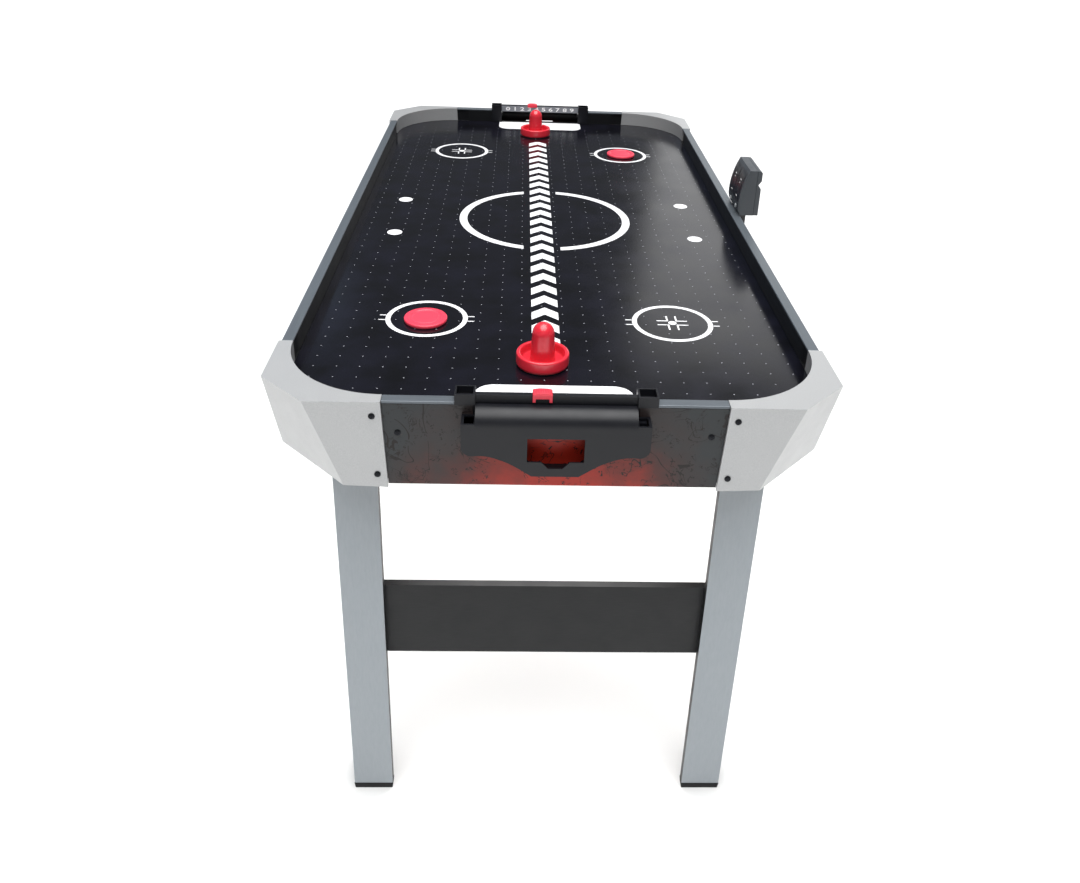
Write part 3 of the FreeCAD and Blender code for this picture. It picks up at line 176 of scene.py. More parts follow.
def relief(tree, shader, height, depth):
    """Tilts the surface as if a height field depth metres deep were pressed into it."""
    tilt = add_node(tree, "Bump", inputs={"Height": height, "Distance": depth, "Strength": 1.0})
    fill(tree, shader, {"Normal": tilt})


print("pattern helpers ready")

# %% [markdown]
# ## Plastics
# Most small pieces are injection-moulded. Moulded black ABS has a spark-eroded grain of about 0.4 mm, which
# breaks up its highlights. Red polypropylene is glossy and lets a little light in, so it gets some
# subsurface scattering. Each starts from IOR 1.5 and a roughness typical of the mould's finish.

# %% Moulded plastics


def moulded(name, colour, roughness, grain_size=0.4 * MM, depth=0.02 * MM, **values):
    """Plastic with a fine mould grain and slow changes of gloss across its faces."""
    made, tree, shader = finish(name, colour, Roughness=roughness, **values)
    vector = places(tree)[0]
    relief(tree, shader, grain(tree, vector, grain_size), depth)
    wandering_gloss(tree, shader, grain(tree, vector, 40 * MM), roughness - 0.04, roughness + 0.05)
    return made


# Goal frames and puck boxes, from a spark-eroded mould: a broad grey sheen with no sharp highlight.
BLACK_ABS = moulded("black_abs_spark_grain", "#121318", 0.4, Specular_IOR_Level=0.35)
# Switch and inlet, from a polished mould: a small clear highlight.
BLACK_GLOSS = moulded("black_abs_smooth", "#131417", 0.24)
# Shoes of the legs, soft and scuffed: nearly no sheen, so they end the leg in a plain dark line.
SHOE_PLASTIC = moulded("black_polypropylene_shoe", "#0D0D0F", 0.5, Specular_IOR_Level=0.2)
# Pucks, hard and slippery: an even pinkish red with a wide soft highlight.
PUCK_RED = moulded("red_acetal_puck", "#EC4258", 0.34)
# Mallets, thick glossy mouldings: a deep red that glows a little where the wall is thin.
RED_PLASTIC = moulded("red_polypropylene_gloss", "#DC2C3C", 0.24, depth=0.004 * MM,
                      Subsurface_Weight=0.12, Subsurface_Radius=[0.004, 0.001, 0.001], Subsurface_Scale=1.0,
                      Coat_Weight=0.3, Coat_Roughness=0.12)
# Score sliders: a satin red, duller than the mallets.
SLIDER_RED = moulded("red_abs_satin", "#E0384A", 0.38)
# Score unit's case: a charcoal with a grain of 0.5 mm that just shows at its edges.
SCORER_PLASTIC = moulded("charcoal_abs_fine_grain", "#3A3F44", 0.4, grain_size=0.5 * MM, depth=0.03 * MM)
# Its two buttons: light grey, so that they are found at once.
BUTTON_PLASTIC = moulded("grey_button_abs", "#B9BCBE", 0.35)
# The impeller: nylon, a dull near-black.
FAN_PLASTIC = moulded("black_nylon_fan", "#202225", 0.45)
# The motor's lead: soft PVC, the dullest of the blacks.
LEAD_RUBBER = moulded("black_pvc_lead", "#0E0E0F", 0.55)
print("plastics", len(bpy.data.materials))

# %% [markdown]
# ## Silver corner caps
# The caps are ABS sprayed with a silver lacquer: tiny aluminium flakes in a clear binder. The flakes make
# it a quarter metallic and a little brighter and darker from grain to grain. A flake is far too fine to
# show, so the sparkle is drawn at about 1 mm, which is what the eye reads as silver paint.

# %% Silver lacquer


def silver_lacquer():
    """Pale satin silver: flakes of 1.1 mm, gloss that wanders over 25 mm, and an orange peel of 0.8 mm."""
    made, tree, shader = finish("silver_lacquered_abs", "#BDBFBF", Metallic=0.25, Roughness=0.38,
                                Coat_Weight=0.15, Coat_Roughness=0.3)
    vector = places(tree)[0]
    flakes = grain(tree, vector, 1.1 * MM, detail=2.0)
    fill(tree, shader, {"Base Color": two_tone(tree, flakes, "#A9AAAB", "#B6B7B7")})
    wandering_gloss(tree, shader, grain(tree, vector, 25 * MM), 0.32, 0.42)
    relief(tree, shader, grain(tree, vector, 0.8 * MM), 0.008 * MM)
    return made


SILVER = silver_lacquer()
print(SILVER.name)

# %% [markdown]
# ## Rail trim
# The tops of the rails carry a strip of PVC foil printed as brushed metal. Brushing leaves fine lines
# along the strip, so the noise is stretched two hundred times along the rail: along Y on the long
# rails and along X on the short ones, which takes two materials from one function.

# %% Brushed trim
BRUSHING = 200                  # a brushed line is this many times as long as it is wide


def brushed_trim(name, stretch):
    """Blue-grey foil whose 0.5 mm lines change its colour, gloss and tilt together, as real brushing does."""
    made, tree, shader = finish(name, "#5F666C", Metallic=0.3, Roughness=0.38)
    vector = places(tree)[0]
    lines = grain(tree, vector, 0.5 * MM, detail=4.0, stretch=stretch)
    fill(tree, shader, {"Base Color": two_tone(tree, lines, "#565C62", "#6C7379")})
    wandering_gloss(tree, shader, lines, 0.3, 0.48)
    relief(tree, shader, lines, 0.01 * MM)
    return made


TRIM_LONG = brushed_trim("brushed_foil_along_y", (1, BRUSHING, 1))
TRIM_SHORT = brushed_trim("brushed_foil_along_x", (BRUSHING, 1, 1))
print(TRIM_LONG.name, TRIM_SHORT.name)

# %% [markdown]
# ## Masks
# Where a surface has two finishes, a mask says which one a point has: 1 or 0, worked out from its place.
# Masks are joined like sets: a product keeps what is in all of them, and the largest keeps what is in any.

# %% Masks


def away(tree, value, centre=0.0):
    """How far a value is from a centre: the absolute value of their difference."""
    return add_node(tree, "Math", add_node(tree, "Math", value, centre, operation="SUBTRACT"),
                    operation="ABSOLUTE")


def near_value(tree, value, centre, half):
    """1 where value is within half of centre, else 0."""
    return add_node(tree, "Math", away(tree, value, centre), half, operation="LESS_THAN")


def on_outer_face(tree, place, face, skin):
    """1 in the outermost skin of a piece: farther from the table's middle than its face less the skin."""
    return add_node(tree, "Math", away(tree, place), face - skin, operation="GREATER_THAN")


def both(tree, first, *others):
    """1 where every mask is 1: their product."""
    for other in others:
        first = add_node(tree, "Math", first, other, operation="MULTIPLY")
    return first


def either(tree, first, *others):
    """1 where any mask is 1: the largest of them."""
    for other in others:
        first = add_node(tree, "Math", first, other, operation="MAXIMUM")
    return first


print("masks ready")

# %% [markdown]
# ## Leg laminate
# Each leg is two chipboard panels with silver-grey paper laminate on the two outer faces and black paper
# on the edges and inside. The outer faces are the outermost planes of the leg, so the place alone says
# which paper a point has: no second object is needed.

# %% Two-tone legs
LEG_OUTER_X, LEG_OUTER_Y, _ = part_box("leg_far_right")[1]
PAPER_SKIN = 0.6 * MM


def leg_laminate():
    """Satin paper: silver-grey outside and black inside, both with a fine upright grain."""
    made, tree, shader = finish("silver_and_black_laminate", "#98A0A6", Roughness=0.42,
                                Specular_IOR_Level=0.35)
    vector, x, y, _ = places(tree)
    paper = grain(tree, vector, 2.5 * MM, detail=5.0, stretch=(1, 1, 6))
    silver = two_tone(tree, paper, "#99A0A5", "#9FA5AA")
    black = two_tone(tree, paper, "#141517", "#191B1C")
    outer = either(tree, on_outer_face(tree, x, LEG_OUTER_X, PAPER_SKIN),
                   on_outer_face(tree, y, LEG_OUTER_Y, PAPER_SKIN))
    fill(tree, shader, {"Base Color": add_node(tree, "Mix", outer, inputs={MIX_A: black, MIX_B: silver},
                                               data_type="RGBA")})
    wandering_gloss(tree, shader, grain(tree, vector, 30 * MM), 0.36, 0.5)
    relief(tree, shader, paper, 0.01 * MM)
    return made


def black_laminate():
    """Black paper laminate with a faint pressed grain along the board: a soft grey sheen."""
    made, tree, shader = finish("black_paper_laminate", "#191B1D", Roughness=0.45, Specular_IOR_Level=0.3)
    vector = places(tree)[0]
    paper = grain(tree, vector, 1.5 * MM, detail=5.0, stretch=(12, 1, 1))
    fill(tree, shader, {"Base Color": two_tone(tree, paper, "#111214", "#18191B")})
    wandering_gloss(tree, shader, grain(tree, vector, 35 * MM), 0.36, 0.5)
    relief(tree, shader, paper, 0.012 * MM)
    return made


LEG_LAMINATE = leg_laminate()
BLACK_BOARD = black_laminate()
print(LEG_LAMINATE.name, BLACK_BOARD.name)

# %% [markdown]
# ## Printed foil on the aprons
# The outer faces of the cabinet boards carry a printed foil: red in the middle of each board, running out
# to charcoal at its ends, with black scratches and smoke over it. The red is a smooth function of the
# distance from the middle, broken up by noise. The scratches are the thin zero lines of a warped noise,
# which look like a dry brush. Inside the rails the same boards are plain black.

# %% Printed aprons
FOIL_LOW, FOIL_HIGH = (corner[2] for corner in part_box("end_apron_far"))
FOIL_SKIN = 0.4 * MM
CHARCOAL_TO_RED = [(0.0, "#2C2F31"), (0.3, "#352C2B"), (0.55, "#4F2824"), (0.8, "#8E2A1E"), (1.0, "#B52C1C")]
CLOUD_SIZE, SMOKE_SIZE = 70 * MM, 26 * MM
STROKE_SIZE, LONG_STROKE_SIZE = 38.46 * MM, 111.1 * MM


def foil_warmth(tree, run, height, clouds, reach):
    """How red the print is, 0 to 1: it falls off along the board and upwards, and clouds break it up."""
    along = add_node(tree, "MapRange", away(tree, run), 0.12 * reach, reach, 1.0, 0.0)
    upwards = add_node(tree, "MapRange", height, FOIL_LOW, FOIL_HIGH, 0.12, -0.3)
    broken = add_node(tree, "MapRange", clouds, NOISE_LOW, NOISE_HIGH, -0.2, 0.2)
    smooth = add_node(tree, "Math", along, upwards, operation="ADD")
    return add_node(tree, "Math", smooth, broken, operation="ADD", use_clamp=True)


def foil_strokes(tree, vector, clouds, smoke):
    """Short dry strokes in the smoke and long ones in the clouds: where a warped noise is close to 0.5."""
    short = grain(tree, vector, STROKE_SIZE, detail=3.5, roughness=0.6, distortion=2.6)
    long = grain(tree, vector, LONG_STROKE_SIZE, detail=2.0, roughness=0.5, distortion=1.4)
    in_smoke = add_node(tree, "Math", smoke, 0.51, operation="GREATER_THAN")
    in_clouds = add_node(tree, "Math", clouds, 0.5, operation="GREATER_THAN")
    return either(tree, both(tree, near_value(tree, short, 0.5, 0.014), in_smoke),
                  both(tree, near_value(tree, long, 0.5, 0.004), in_clouds))


def printed_foil(name, along, across, outer_face, reach):
    """Satin foil on one pair of boards: along is the axis of the board, across that of its thickness."""
    made, tree, shader = finish(name, "#3B3D3E", Roughness=0.36, Specular_IOR_Level=0.35)
    vector, *axes = places(tree)
    clouds = grain(tree, vector, CLOUD_SIZE, detail=6.0, roughness=0.6)
    smoke = grain(tree, vector, SMOKE_SIZE, detail=6.0, roughness=0.65)
    warmth = foil_warmth(tree, axes["xyz".index(along)], axes[2], clouds, reach)
    ramp = add_node(tree, "ValToRGB", warmth)
    stops = ramp.color_ramp.elements
    stops.remove(stops[1])
    stops[0].color = linear(CHARCOAL_TO_RED[0][1])
    for place, colour in CHARCOAL_TO_RED[1:]:
        stops.new(place).color = linear(colour)
    haze = add_node(tree, "MapRange", smoke, 0.6, 0.72, 0.0, 0.85)
    ink = either(tree, foil_strokes(tree, vector, clouds, smoke), haze)
    printed = add_node(tree, "Mix", ink, inputs={MIX_A: ramp, MIX_B: linear("#160F0E")}, data_type="RGBA")
    outside = on_outer_face(tree, axes["xyz".index(across)], outer_face, FOIL_SKIN)
    fill(tree, shader, {"Base Color": add_node(tree, "Mix", outside, data_type="RGBA", inputs={
        MIX_A: linear("#141517"), MIX_B: printed})})
    wandering_gloss(tree, shader, clouds, 0.3, 0.42)
    relief(tree, shader, grain(tree, vector, 0.6 * MM), 0.01 * MM)
    return made


END_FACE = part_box("end_apron_far")[1][1]
SIDE_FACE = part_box("side_apron_right")[1][0]
END_FOIL = printed_foil("printed_foil_ends", "x", "y", END_FACE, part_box("end_trim_far")[1][0])
SIDE_FOIL = printed_foil("printed_foil_sides", "y", "x", SIDE_FACE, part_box("side_trim_right")[1][1])
print("outer faces", round(END_FACE, 4), round(SIDE_FACE, 4))

# %% [markdown]
# ## The playfield
# The board is melamine laminate pressed against a polished plate: gloss black, with white markings
# printed under the clear surface. The markings could be an image, but they are simple geometry, so
# each one is a distance sum: a ring is where the distance from its centre is within a band, a dot is
# where that distance is small. Their edges then stay crisp at any size, and the gloss runs over them.

# %% Rings and dots of the playfield
RING_X, RING_Y = 190.4 * MM, 457 * MM
SMALL_RING, SMALL_LINE = 59.2 * MM, 7.5 * MM
BIG_RING, BIG_LINE = 160.2 * MM, 15 * MM
BAND_X, BAND_HALF = -8 * MM, 21 * MM
FINE_HALF = 1.3 * MM            # half the width of the ticks and hashes
SIDE_DOT_X, SIDE_DOT_Y, SIDE_DOT_RADIUS = 283.9 * MM, 93.7 * MM, 14 * MM


def distance(tree, x, y, centre=(0, 0)):
    """Length of the way from centre: square root of dx squared plus dy squared."""
    dx, dy = away(tree, x, centre[0]), away(tree, y, centre[1])
    squares = add_node(tree, "Math", dx, dx, add_node(tree, "Math", dy, dy, operation="MULTIPLY"),
                       operation="MULTIPLY_ADD")
    return add_node(tree, "Math", squares, operation="SQRT")


def dot(tree, x, y, centre, radius):
    """1 where the distance from centre is under the radius."""
    return add_node(tree, "Math", distance(tree, x, y, centre), radius, operation="LESS_THAN")


def face_off_rings(tree, x, y):
    """Four small rings, folded onto one by symmetry, with double ticks at their sides."""
    ax, ay = away(tree, x), away(tree, y)
    ring = near_value(tree, distance(tree, ax, ay, (RING_X, RING_Y)), SMALL_RING, SMALL_LINE / 2)
    side = near_value(tree, away(tree, ax, RING_X), 68 * MM, 5 * MM)
    step = near_value(tree, away(tree, ay, RING_Y), 8 * MM, FINE_HALF)
    return either(tree, ring, both(tree, side, step))


def face_off_marks(tree, x, y):
    """A dot and a double hash in two of the rings: where X times Y is below 0."""
    product = add_node(tree, "Math", x, y, operation="MULTIPLY")
    these_two = add_node(tree, "Math", product, 0.0, operation="LESS_THAN")
    dx, dy = away(tree, away(tree, x), RING_X), away(tree, away(tree, y), RING_Y)
    level = both(tree, near_value(tree, dy, 7 * MM, FINE_HALF), near_value(tree, dx, 15 * MM, 9 * MM))
    upright = both(tree, near_value(tree, dx, 7 * MM, FINE_HALF), near_value(tree, dy, 15 * MM, 9 * MM))
    return both(tree, these_two, either(tree, dot(tree, dx, dy, (0, 0), 6.5 * MM), level, upright))


def centre_ring(tree, x, y):
    """The big ring, open where the middle band crosses it."""
    ring = near_value(tree, distance(tree, x, y), BIG_RING, BIG_LINE / 2)
    return both(tree, ring, add_node(tree, "Math", away(tree, x, BAND_X), 34 * MM, operation="GREATER_THAN"))


def side_dots(tree, x, y):
    """Four dots beside the middle line, folded onto one by symmetry."""
    return dot(tree, away(tree, x), away(tree, y), (SIDE_DOT_X, SIDE_DOT_Y), SIDE_DOT_RADIUS)


print("rings at", RING_X, RING_Y, "dots at", SIDE_DOT_X, SIDE_DOT_Y)

# %% [markdown]
# ## Band, goal creases and gloss
# A band of chevrons runs down the middle, and each goal has a white crease with rounded corners before it.
# The chevrons are a saw wave whose start is shifted by the distance from the band's middle. The board below
# its printed top is bare hardboard brown, which shows at its edges.

# %% Band, creases and the laminate
PLAY_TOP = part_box("playfield")[1][2]
CHEVRON_PITCH, CHEVRON_SLOPE, CHEVRON_SHARE = 46 * MM, 0.9, 0.56
BAND_MIDDLE_Y, BAND_HALF_LENGTH = 8 * MM, 543 * MM
CREASE_HALF, CREASE_START, CREASE_ROUND = 107 * MM, 664 * MM, 26 * MM
CREASE_SHIFT = 7 * MM           # the print sits this much towards the far end


def middle_band(tree, x, y):
    """Chevrons: bars where the fraction of (y + slope off + 2) / pitch is below their share of the pitch."""
    off = away(tree, x, BAND_X)
    bent = add_node(tree, "Math", off, CHEVRON_SLOPE, y, operation="MULTIPLY_ADD")
    # The 2 m keep the sum above zero over the whole table.
    turns = add_node(tree, "Math", add_node(tree, "Math", bent, 2.0, operation="ADD"), CHEVRON_PITCH,
                     operation="DIVIDE")
    wave = add_node(tree, "Math", turns, operation="FRACT")
    return both(tree, add_node(tree, "Math", wave, CHEVRON_SHARE, operation="LESS_THAN"),
                add_node(tree, "Math", off, BAND_HALF, operation="LESS_THAN"),
                near_value(tree, y, BAND_MIDDLE_Y, BAND_HALF_LENGTH))


def goal_creases(tree, x, y):
    """A white field before each goal, its inner corners rounded: a rounded-box distance."""
    past_x = add_node(tree, "Math", away(tree, x), CREASE_HALF - CREASE_ROUND, operation="SUBTRACT")
    past_y = add_node(tree, "Math", CREASE_START + CREASE_ROUND, away(tree, y, CREASE_SHIFT),
                      operation="SUBTRACT")
    over_x, over_y = (add_node(tree, "Math", past, 0.0, operation="MAXIMUM") for past in (past_x, past_y))
    return dot(tree, over_x, over_y, (0, 0), CREASE_ROUND)


def play_laminate():
    """Gloss laminate: IOR 1.5 under a nearly mirror surface, with the faint orange peel of its press."""
    made, tree, shader = finish("gloss_black_laminate_printed", "#08090B", Roughness=0.12)
    vector, x, y, z = places(tree)
    white = either(tree, face_off_rings(tree, x, y), face_off_marks(tree, x, y), centre_ring(tree, x, y),
                   side_dots(tree, x, y), middle_band(tree, x, y), goal_creases(tree, x, y))
    on_top = add_node(tree, "Math", z, PLAY_TOP - 0.2 * MM, operation="GREATER_THAN")
    black = two_tone(tree, grain(tree, vector, 60 * MM), "#08080C", "#10101A")
    board = add_node(tree, "Mix", on_top, inputs={MIX_A: linear("#6B5440"), MIX_B: black}, data_type="RGBA")
    printed = add_node(tree, "Mix", both(tree, white, on_top), data_type="RGBA", inputs={
        MIX_A: board, MIX_B: linear("#F4F4F6")})
    fill(tree, shader, {"Base Color": printed})
    wandering_gloss(tree, shader, grain(tree, vector, 120 * MM), 0.14, 0.22)
    relief(tree, shader, grain(tree, vector, 9 * MM, detail=1.0), 0.02 * MM)
    return made


PLAY_LAMINATE = play_laminate()
print("playfield top at", round(PLAY_TOP, 4))

# %% [markdown]
# ## Small finishes
# The rest of the list: zinc-plated and black-oxide screws, felt, bare pine, hardboard, a smoked lens,
# circuit board and the two inks of the score bars. Metals keep the default IOR and differ in colour and
# roughness. Wood grain runs along X or Y; one stretched noise serves for it.

# %% Metals, wood, felt and the rest


def metal(name, colour, roughness):
    """Plated or blackened steel: full reflections, a little duller in patches 3 mm wide."""
    made, tree, shader = finish(name, colour, Metallic=1.0, Roughness=roughness)
    vector = places(tree)[0]
    wandering_gloss(tree, shader, grain(tree, vector, 3 * MM), roughness - 0.06, roughness + 0.1)
    relief(tree, shader, grain(tree, vector, 0.5 * MM), 0.005 * MM)
    return made


def wooden(name, dark, light, size, stretch, roughness=0.65):
    """Bare wood: fibres of two tones, size metres wide, that stand out 0.05 mm."""
    made, tree, shader = finish(name, light, Roughness=roughness)
    vector = places(tree)[0]
    fibres = grain(tree, vector, size, detail=6.0, stretch=stretch)
    fill(tree, shader, {"Base Color": two_tone(tree, fibres, dark, light)})
    relief(tree, shader, fibres, 0.05 * MM)
    return made


def felted(name, dark, light):
    """Felt: short matted fibres about 0.3 mm apart, with a soft sheen at grazing angles."""
    made, tree, shader = finish(name, light, Roughness=0.95, Sheen_Weight=0.6, Sheen_Roughness=0.5)
    vector = places(tree)[0]
    fibres = grain(tree, vector, 0.3 * MM, detail=4.0)
    fill(tree, shader, {"Base Color": two_tone(tree, fibres, dark, light)})
    relief(tree, shader, fibres, 0.15 * MM)
    return made


# Bolts and hidden screws: a cool bright grey.
ZINC = metal("zinc_plated_steel", "#B8BCC0", 0.34)
# Cabinet screws: near-black, with a glint on the dome.
BLACK_SCREW = metal("black_oxide_steel", "#2A2B2E", 0.38)
# The score unit's bracket: baked powder, with the fine orange peel that hides the steel below.
BLACK_BRACKET = moulded("black_powder_coat", "#1B1C1E", 0.45, grain_size=0.8 * MM)
# Battens and corner blocks: pale yellow sawn wood.
PINE = wooden("bare_pine", "#B48A5A", "#DDB985", 3 * MM, (1, 14, 1))
# The bottom board: pressed fibres, dark brown and nearly without direction.
HARDBOARD = wooden("brown_hardboard", "#4E3524", "#6B4A33", 1.2 * MM, (2, 2, 1), 0.7)
# Under the mallets: a dark mat surface.
FELT = felted("dark_wool_felt", "#26262A", "#3A3A3E")
# The score unit's board: the usual green lacquer, fairly glossy.
CIRCUIT = moulded("green_solder_mask", "#14532F", 0.3)
# The strip below the numerals: an even mid grey.
SCORE_GREY = moulded("grey_screen_print", "#7C7F85", 0.4)
# The numerals and the marks of the score unit: an even white.
WHITE_INK = moulded("white_pad_print", "#F2F2F2", 0.4)
# The score unit's lens: near-black and smooth.
SMOKED = moulded("smoked_acrylic", "#16181D", 0.3, depth=0.002 * MM)
# Painted shade in the bore of an air hole: a near-black disc, since no light comes back from it.
HOLE_SHADE = moulded("drilled_hole_shadow", "#050506", 0.8)
# The broken edge of the laminate round it: a pale, dull ring.
HOLE_RIM = moulded("drilled_laminate_edge", "#B4B6BE", 0.5)
print("finishes", len(bpy.data.materials))

# %% [markdown]
# ## Finishing the frame's own nodes
# Pieces that are hidden inside, or whose shape is already right, keep their mesh and only get a finish.

# %% Dress the nodes that stay
PLAIN_NODES = {
    "playfield": PLAY_LAMINATE, "bottom_board": HARDBOARD, "support_battens": PINE, "corner_blocks": PINE,
    "blower_housing": BLACK_ABS, "blower_impeller": FAN_PLASTIC, "blower_motor": ZINC, "motor_shaft": ZINC,
    "intake_grille": BLACK_ABS, "dc_inlet": BLACK_GLOSS, "motor_lead": LEAD_RUBBER, "goal_sensors": BLACK_ABS,
    "leg_bolts": ZINC, "wood_screws": ZINC, "scorer_circuit_board": CIRCUIT, "mallet_felt_near": FELT,
    "mallet_felt_far": FELT, "score_strip_near": SCORE_GREY, "score_strip_far": SCORE_GREY,
}
for node_name, material in PLAIN_NODES.items():
    node_object = frame["nodes"][node_name]
    node_object.data.materials.clear()
    node_object.data.materials.append(material)
print("dressed", len(PLAIN_NODES))

# %% [markdown]
# ## Meshes from arrays
# A new shape is worked out as one array of points, and a few helpers turn it into a mesh: they join a grid
# of points with quads, add it to the scene with its finish, copy it to many places, round the corners of a
# profile and carry it round like a lathe. Doubles are merged, so that poles and seams close, and the normals
# are then made to point outwards.

# %% Helpers for meshes


def quads_of(rows, columns, close_columns=False):
    """Corner numbers of a grid's quads: a point and its neighbours to the right and above."""
    i = np.arange(rows - 1)[:, None]
    j = np.arange(columns if close_columns else columns - 1)[None, :]
    i2, j2 = i + 1, (j + 1) % columns
    corners = [i * columns + j, i * columns + j2, i2 * columns + j2, i2 * columns + j]
    return np.stack(np.broadcast_arrays(*corners), -1).reshape(-1, 4)


def points_of(mesh):
    """A mesh's points as one array, a row for each."""
    points = np.zeros(len(mesh.vertices) * 3)
    mesh.vertices.foreach_get("co", points)
    return points.reshape(-1, 3)


def build(name, points, faces, material, sharp=35.0):
    """A mesh object from points and faces, closed, facing outwards, smooth below the sharp angle."""
    mesh = bpy.data.meshes.new(name)
    mesh.from_pydata(np.asarray(points, float).reshape(-1, 3).tolist(), [], [list(face) for face in faces])
    edit = bmesh.new()
    edit.from_mesh(mesh)
    bmesh.ops.remove_doubles(edit, verts=edit.verts, dist=1e-6)
    bmesh.ops.dissolve_degenerate(edit, edges=edit.edges, dist=1e-7)
    bmesh.ops.recalc_face_normals(edit, faces=edit.faces)
    edit.to_mesh(mesh)
    edit.free()
    mesh.shade_smooth()
    mesh.set_sharp_from_angle(angle=math.radians(sharp))
    mesh.materials.append(material)
    made = bpy.data.objects.new(name, mesh)
    bpy.context.scene.collection.objects.link(made)
    return made


def many(points, faces, places_list):
    """Copies one shape to many places: points (n, 3), faces (m, k) and places (p, 3) as whole arrays."""
    places_list = np.asarray(places_list, float)
    everywhere = (points[None] + places_list[:, None]).reshape(-1, 3)
    shifts = np.arange(len(places_list)) * len(points)
    return everywhere, (np.asarray(faces)[None] + shifts[:, None, None]).reshape(-1, len(faces[0]))


def rounded(corners, cuts, steps):
    """A path through corners, each cut back and turned by a quadratic curve.

    The curve from a to b past corner c is (1-t)^2 a + 2t(1-t) c + t^2 b.
    """
    corners = np.asarray(corners, float)
    t = np.linspace(0, 1, steps)[:, None]
    path = [corners[:1]]
    for before, corner, after, size in zip(corners, corners[1:], corners[2:], cuts):
        start = corner + (before - corner) / np.linalg.norm(before - corner) * size
        end = corner + (after - corner) / np.linalg.norm(after - corner) * size
        path.append((1 - t) ** 2 * start + 2 * t * (1 - t) * corner + t ** 2 * end)
    path.append(corners[-1:])
    return np.concatenate(path)


def turned(profile, centre, segments):
    """A lathe: the profile's (radius, height) carried round Z.

    A point is centre + (r cos a, r sin a, h) for the angle a.
    """
    angle = np.linspace(0, 2 * np.pi, segments, endpoint=False)[None, :]
    radius, height = profile[:, :1], profile[:, 1:]
    axes = np.broadcast_arrays(radius * np.cos(angle), radius * np.sin(angle), height)
    return np.stack(axes, -1) + np.asarray(centre), quads_of(len(profile), segments, close_columns=True)


print("mesh helpers ready")

# %% [markdown]
# ## Soft edges on moulded and foiled pieces
# The frame's nodes have knife edges, and nothing real has: an edge that is rounded by 0.4 to 1.5 mm catches
# a line of light. A copy of the node has its doubles merged and its flat faces joined, and a Bevel modifier
# rounds every edge sharper than 30 degrees. Weighted normals then keep the wide faces flat in their shading.
# That keeps the exact shape, which a rebuilt surface might not.

# %% Round the edges of copies
FLAT_ANGLE = math.radians(0.6)  # triangles that meet at less are one flat face
EDGE_ANGLE = math.radians(30)
FLAT_WEIGHT = 80                # how far the wide faces rule the shading, out of 100


def softened(node, width, material, segments=3):
    """A copy of the node with every edge above 30 degrees rounded, width metres wide."""
    mesh = frame["nodes"][node].data.copy()
    mesh.materials.clear()
    mesh.materials.append(material)
    edit = bmesh.new()
    edit.from_mesh(mesh)
    bmesh.ops.remove_doubles(edit, verts=edit.verts, dist=1e-6)
    bmesh.ops.dissolve_limit(edit, angle_limit=FLAT_ANGLE, verts=edit.verts, edges=edit.edges)
    for face in edit.faces:
        face.smooth = True
        face.material_index = 0
    edit.to_mesh(mesh)
    edit.free()
    piece = bpy.data.objects.new(node + "_skin", mesh)
    bpy.context.scene.collection.objects.link(piece)
    edges = piece.modifiers.new("Edges", "BEVEL")
    edges.width = width
    edges.segments = segments
    edges.limit_method = "ANGLE"
    edges.angle_limit = EDGE_ANGLE
    edges.miter_outer = "MITER_ARC"
    flats = piece.modifiers.new("Flats", "WEIGHTED_NORMAL")
    flats.weight = FLAT_WEIGHT
    return adopt(piece, node)


CORNERS = [f"{end}_{side}" for end in ("near", "far") for side in ("left", "right")]
for corner in CORNERS:
    softened(f"corner_cap_{corner}", 1.4 * MM, SILVER)
    softened(f"leg_{corner}", 0.8 * MM, LEG_LAMINATE, segments=2)
    softened(f"foot_{corner}", 1.0 * MM, SHOE_PLASTIC, segments=2)
for side in ("left", "right"):
    softened(f"side_apron_{side}", 0.5 * MM, SIDE_FOIL, segments=1)
    softened(f"side_trim_{side}", 1.2 * MM, TRIM_LONG)
for end in ("near", "far"):
    softened(f"end_apron_{end}", 0.5 * MM, END_FOIL, segments=1)
    softened(f"end_trim_{end}", 1.2 * MM, TRIM_SHORT)
    softened(f"stretcher_{end}", 0.8 * MM, BLACK_BOARD, segments=2)
    softened(f"goal_frame_{end}", 0.5 * MM, BLACK_ABS, segments=2)
    softened(f"puck_box_{end}", 1.0 * MM, BLACK_ABS)
    softened(f"scorer_button_{end}", 0.5 * MM, BUTTON_PLASTIC, segments=2)
softened("scorer_case", 1.5 * MM, SCORER_PLASTIC)
softened("scorer_back", 1.2 * MM, SCORER_PLASTIC)
softened("scorer_window", 0.4 * MM, SMOKED, segments=2)
softened("scorer_bracket", 0.6 * MM, BLACK_BRACKET, segments=2)
softened("switch_bezel", 0.4 * MM, BLACK_GLOSS, segments=2)
softened("switch_rocker", 0.5 * MM, BLACK_GLOSS, segments=2)
print("softened copies made")

# %% [markdown]
# ## Air holes
# Air leaves the playfield through about a thousand 1 mm holes on a nearly square grid. Cutting them would
# cost a huge mesh, so each one is a tiny raised ring that lies on the surface: a pale rim, where the drill
# broke the laminate, round a near-black middle that is painted shade for the open hole. A ring has twenty
# faces, and array sums copy it to every place.
# The rims are drawn a little wider than real ones, because a truer rim is too fine to show.

# %% Air holes
HOLE_PITCH_X, HOLE_PITCH_Y = 32.1 * MM, 29.8 * MM
MIDDLE_HOLE_X, MIDDLE_HOLE_Y = -12.3 * MM, -17.5 * MM
HOLE_COLUMNS, HOLE_ROWS = np.arange(-10, 12), np.arange(-22, 24)
HOLE_RADIUS, RIM_RADIUS = 0.5 * MM, 0.95 * MM
LIFT = 0.05 * MM
WALL_GAP = 12 * MM              # no hole is closer than this to a rounded corner of the wall


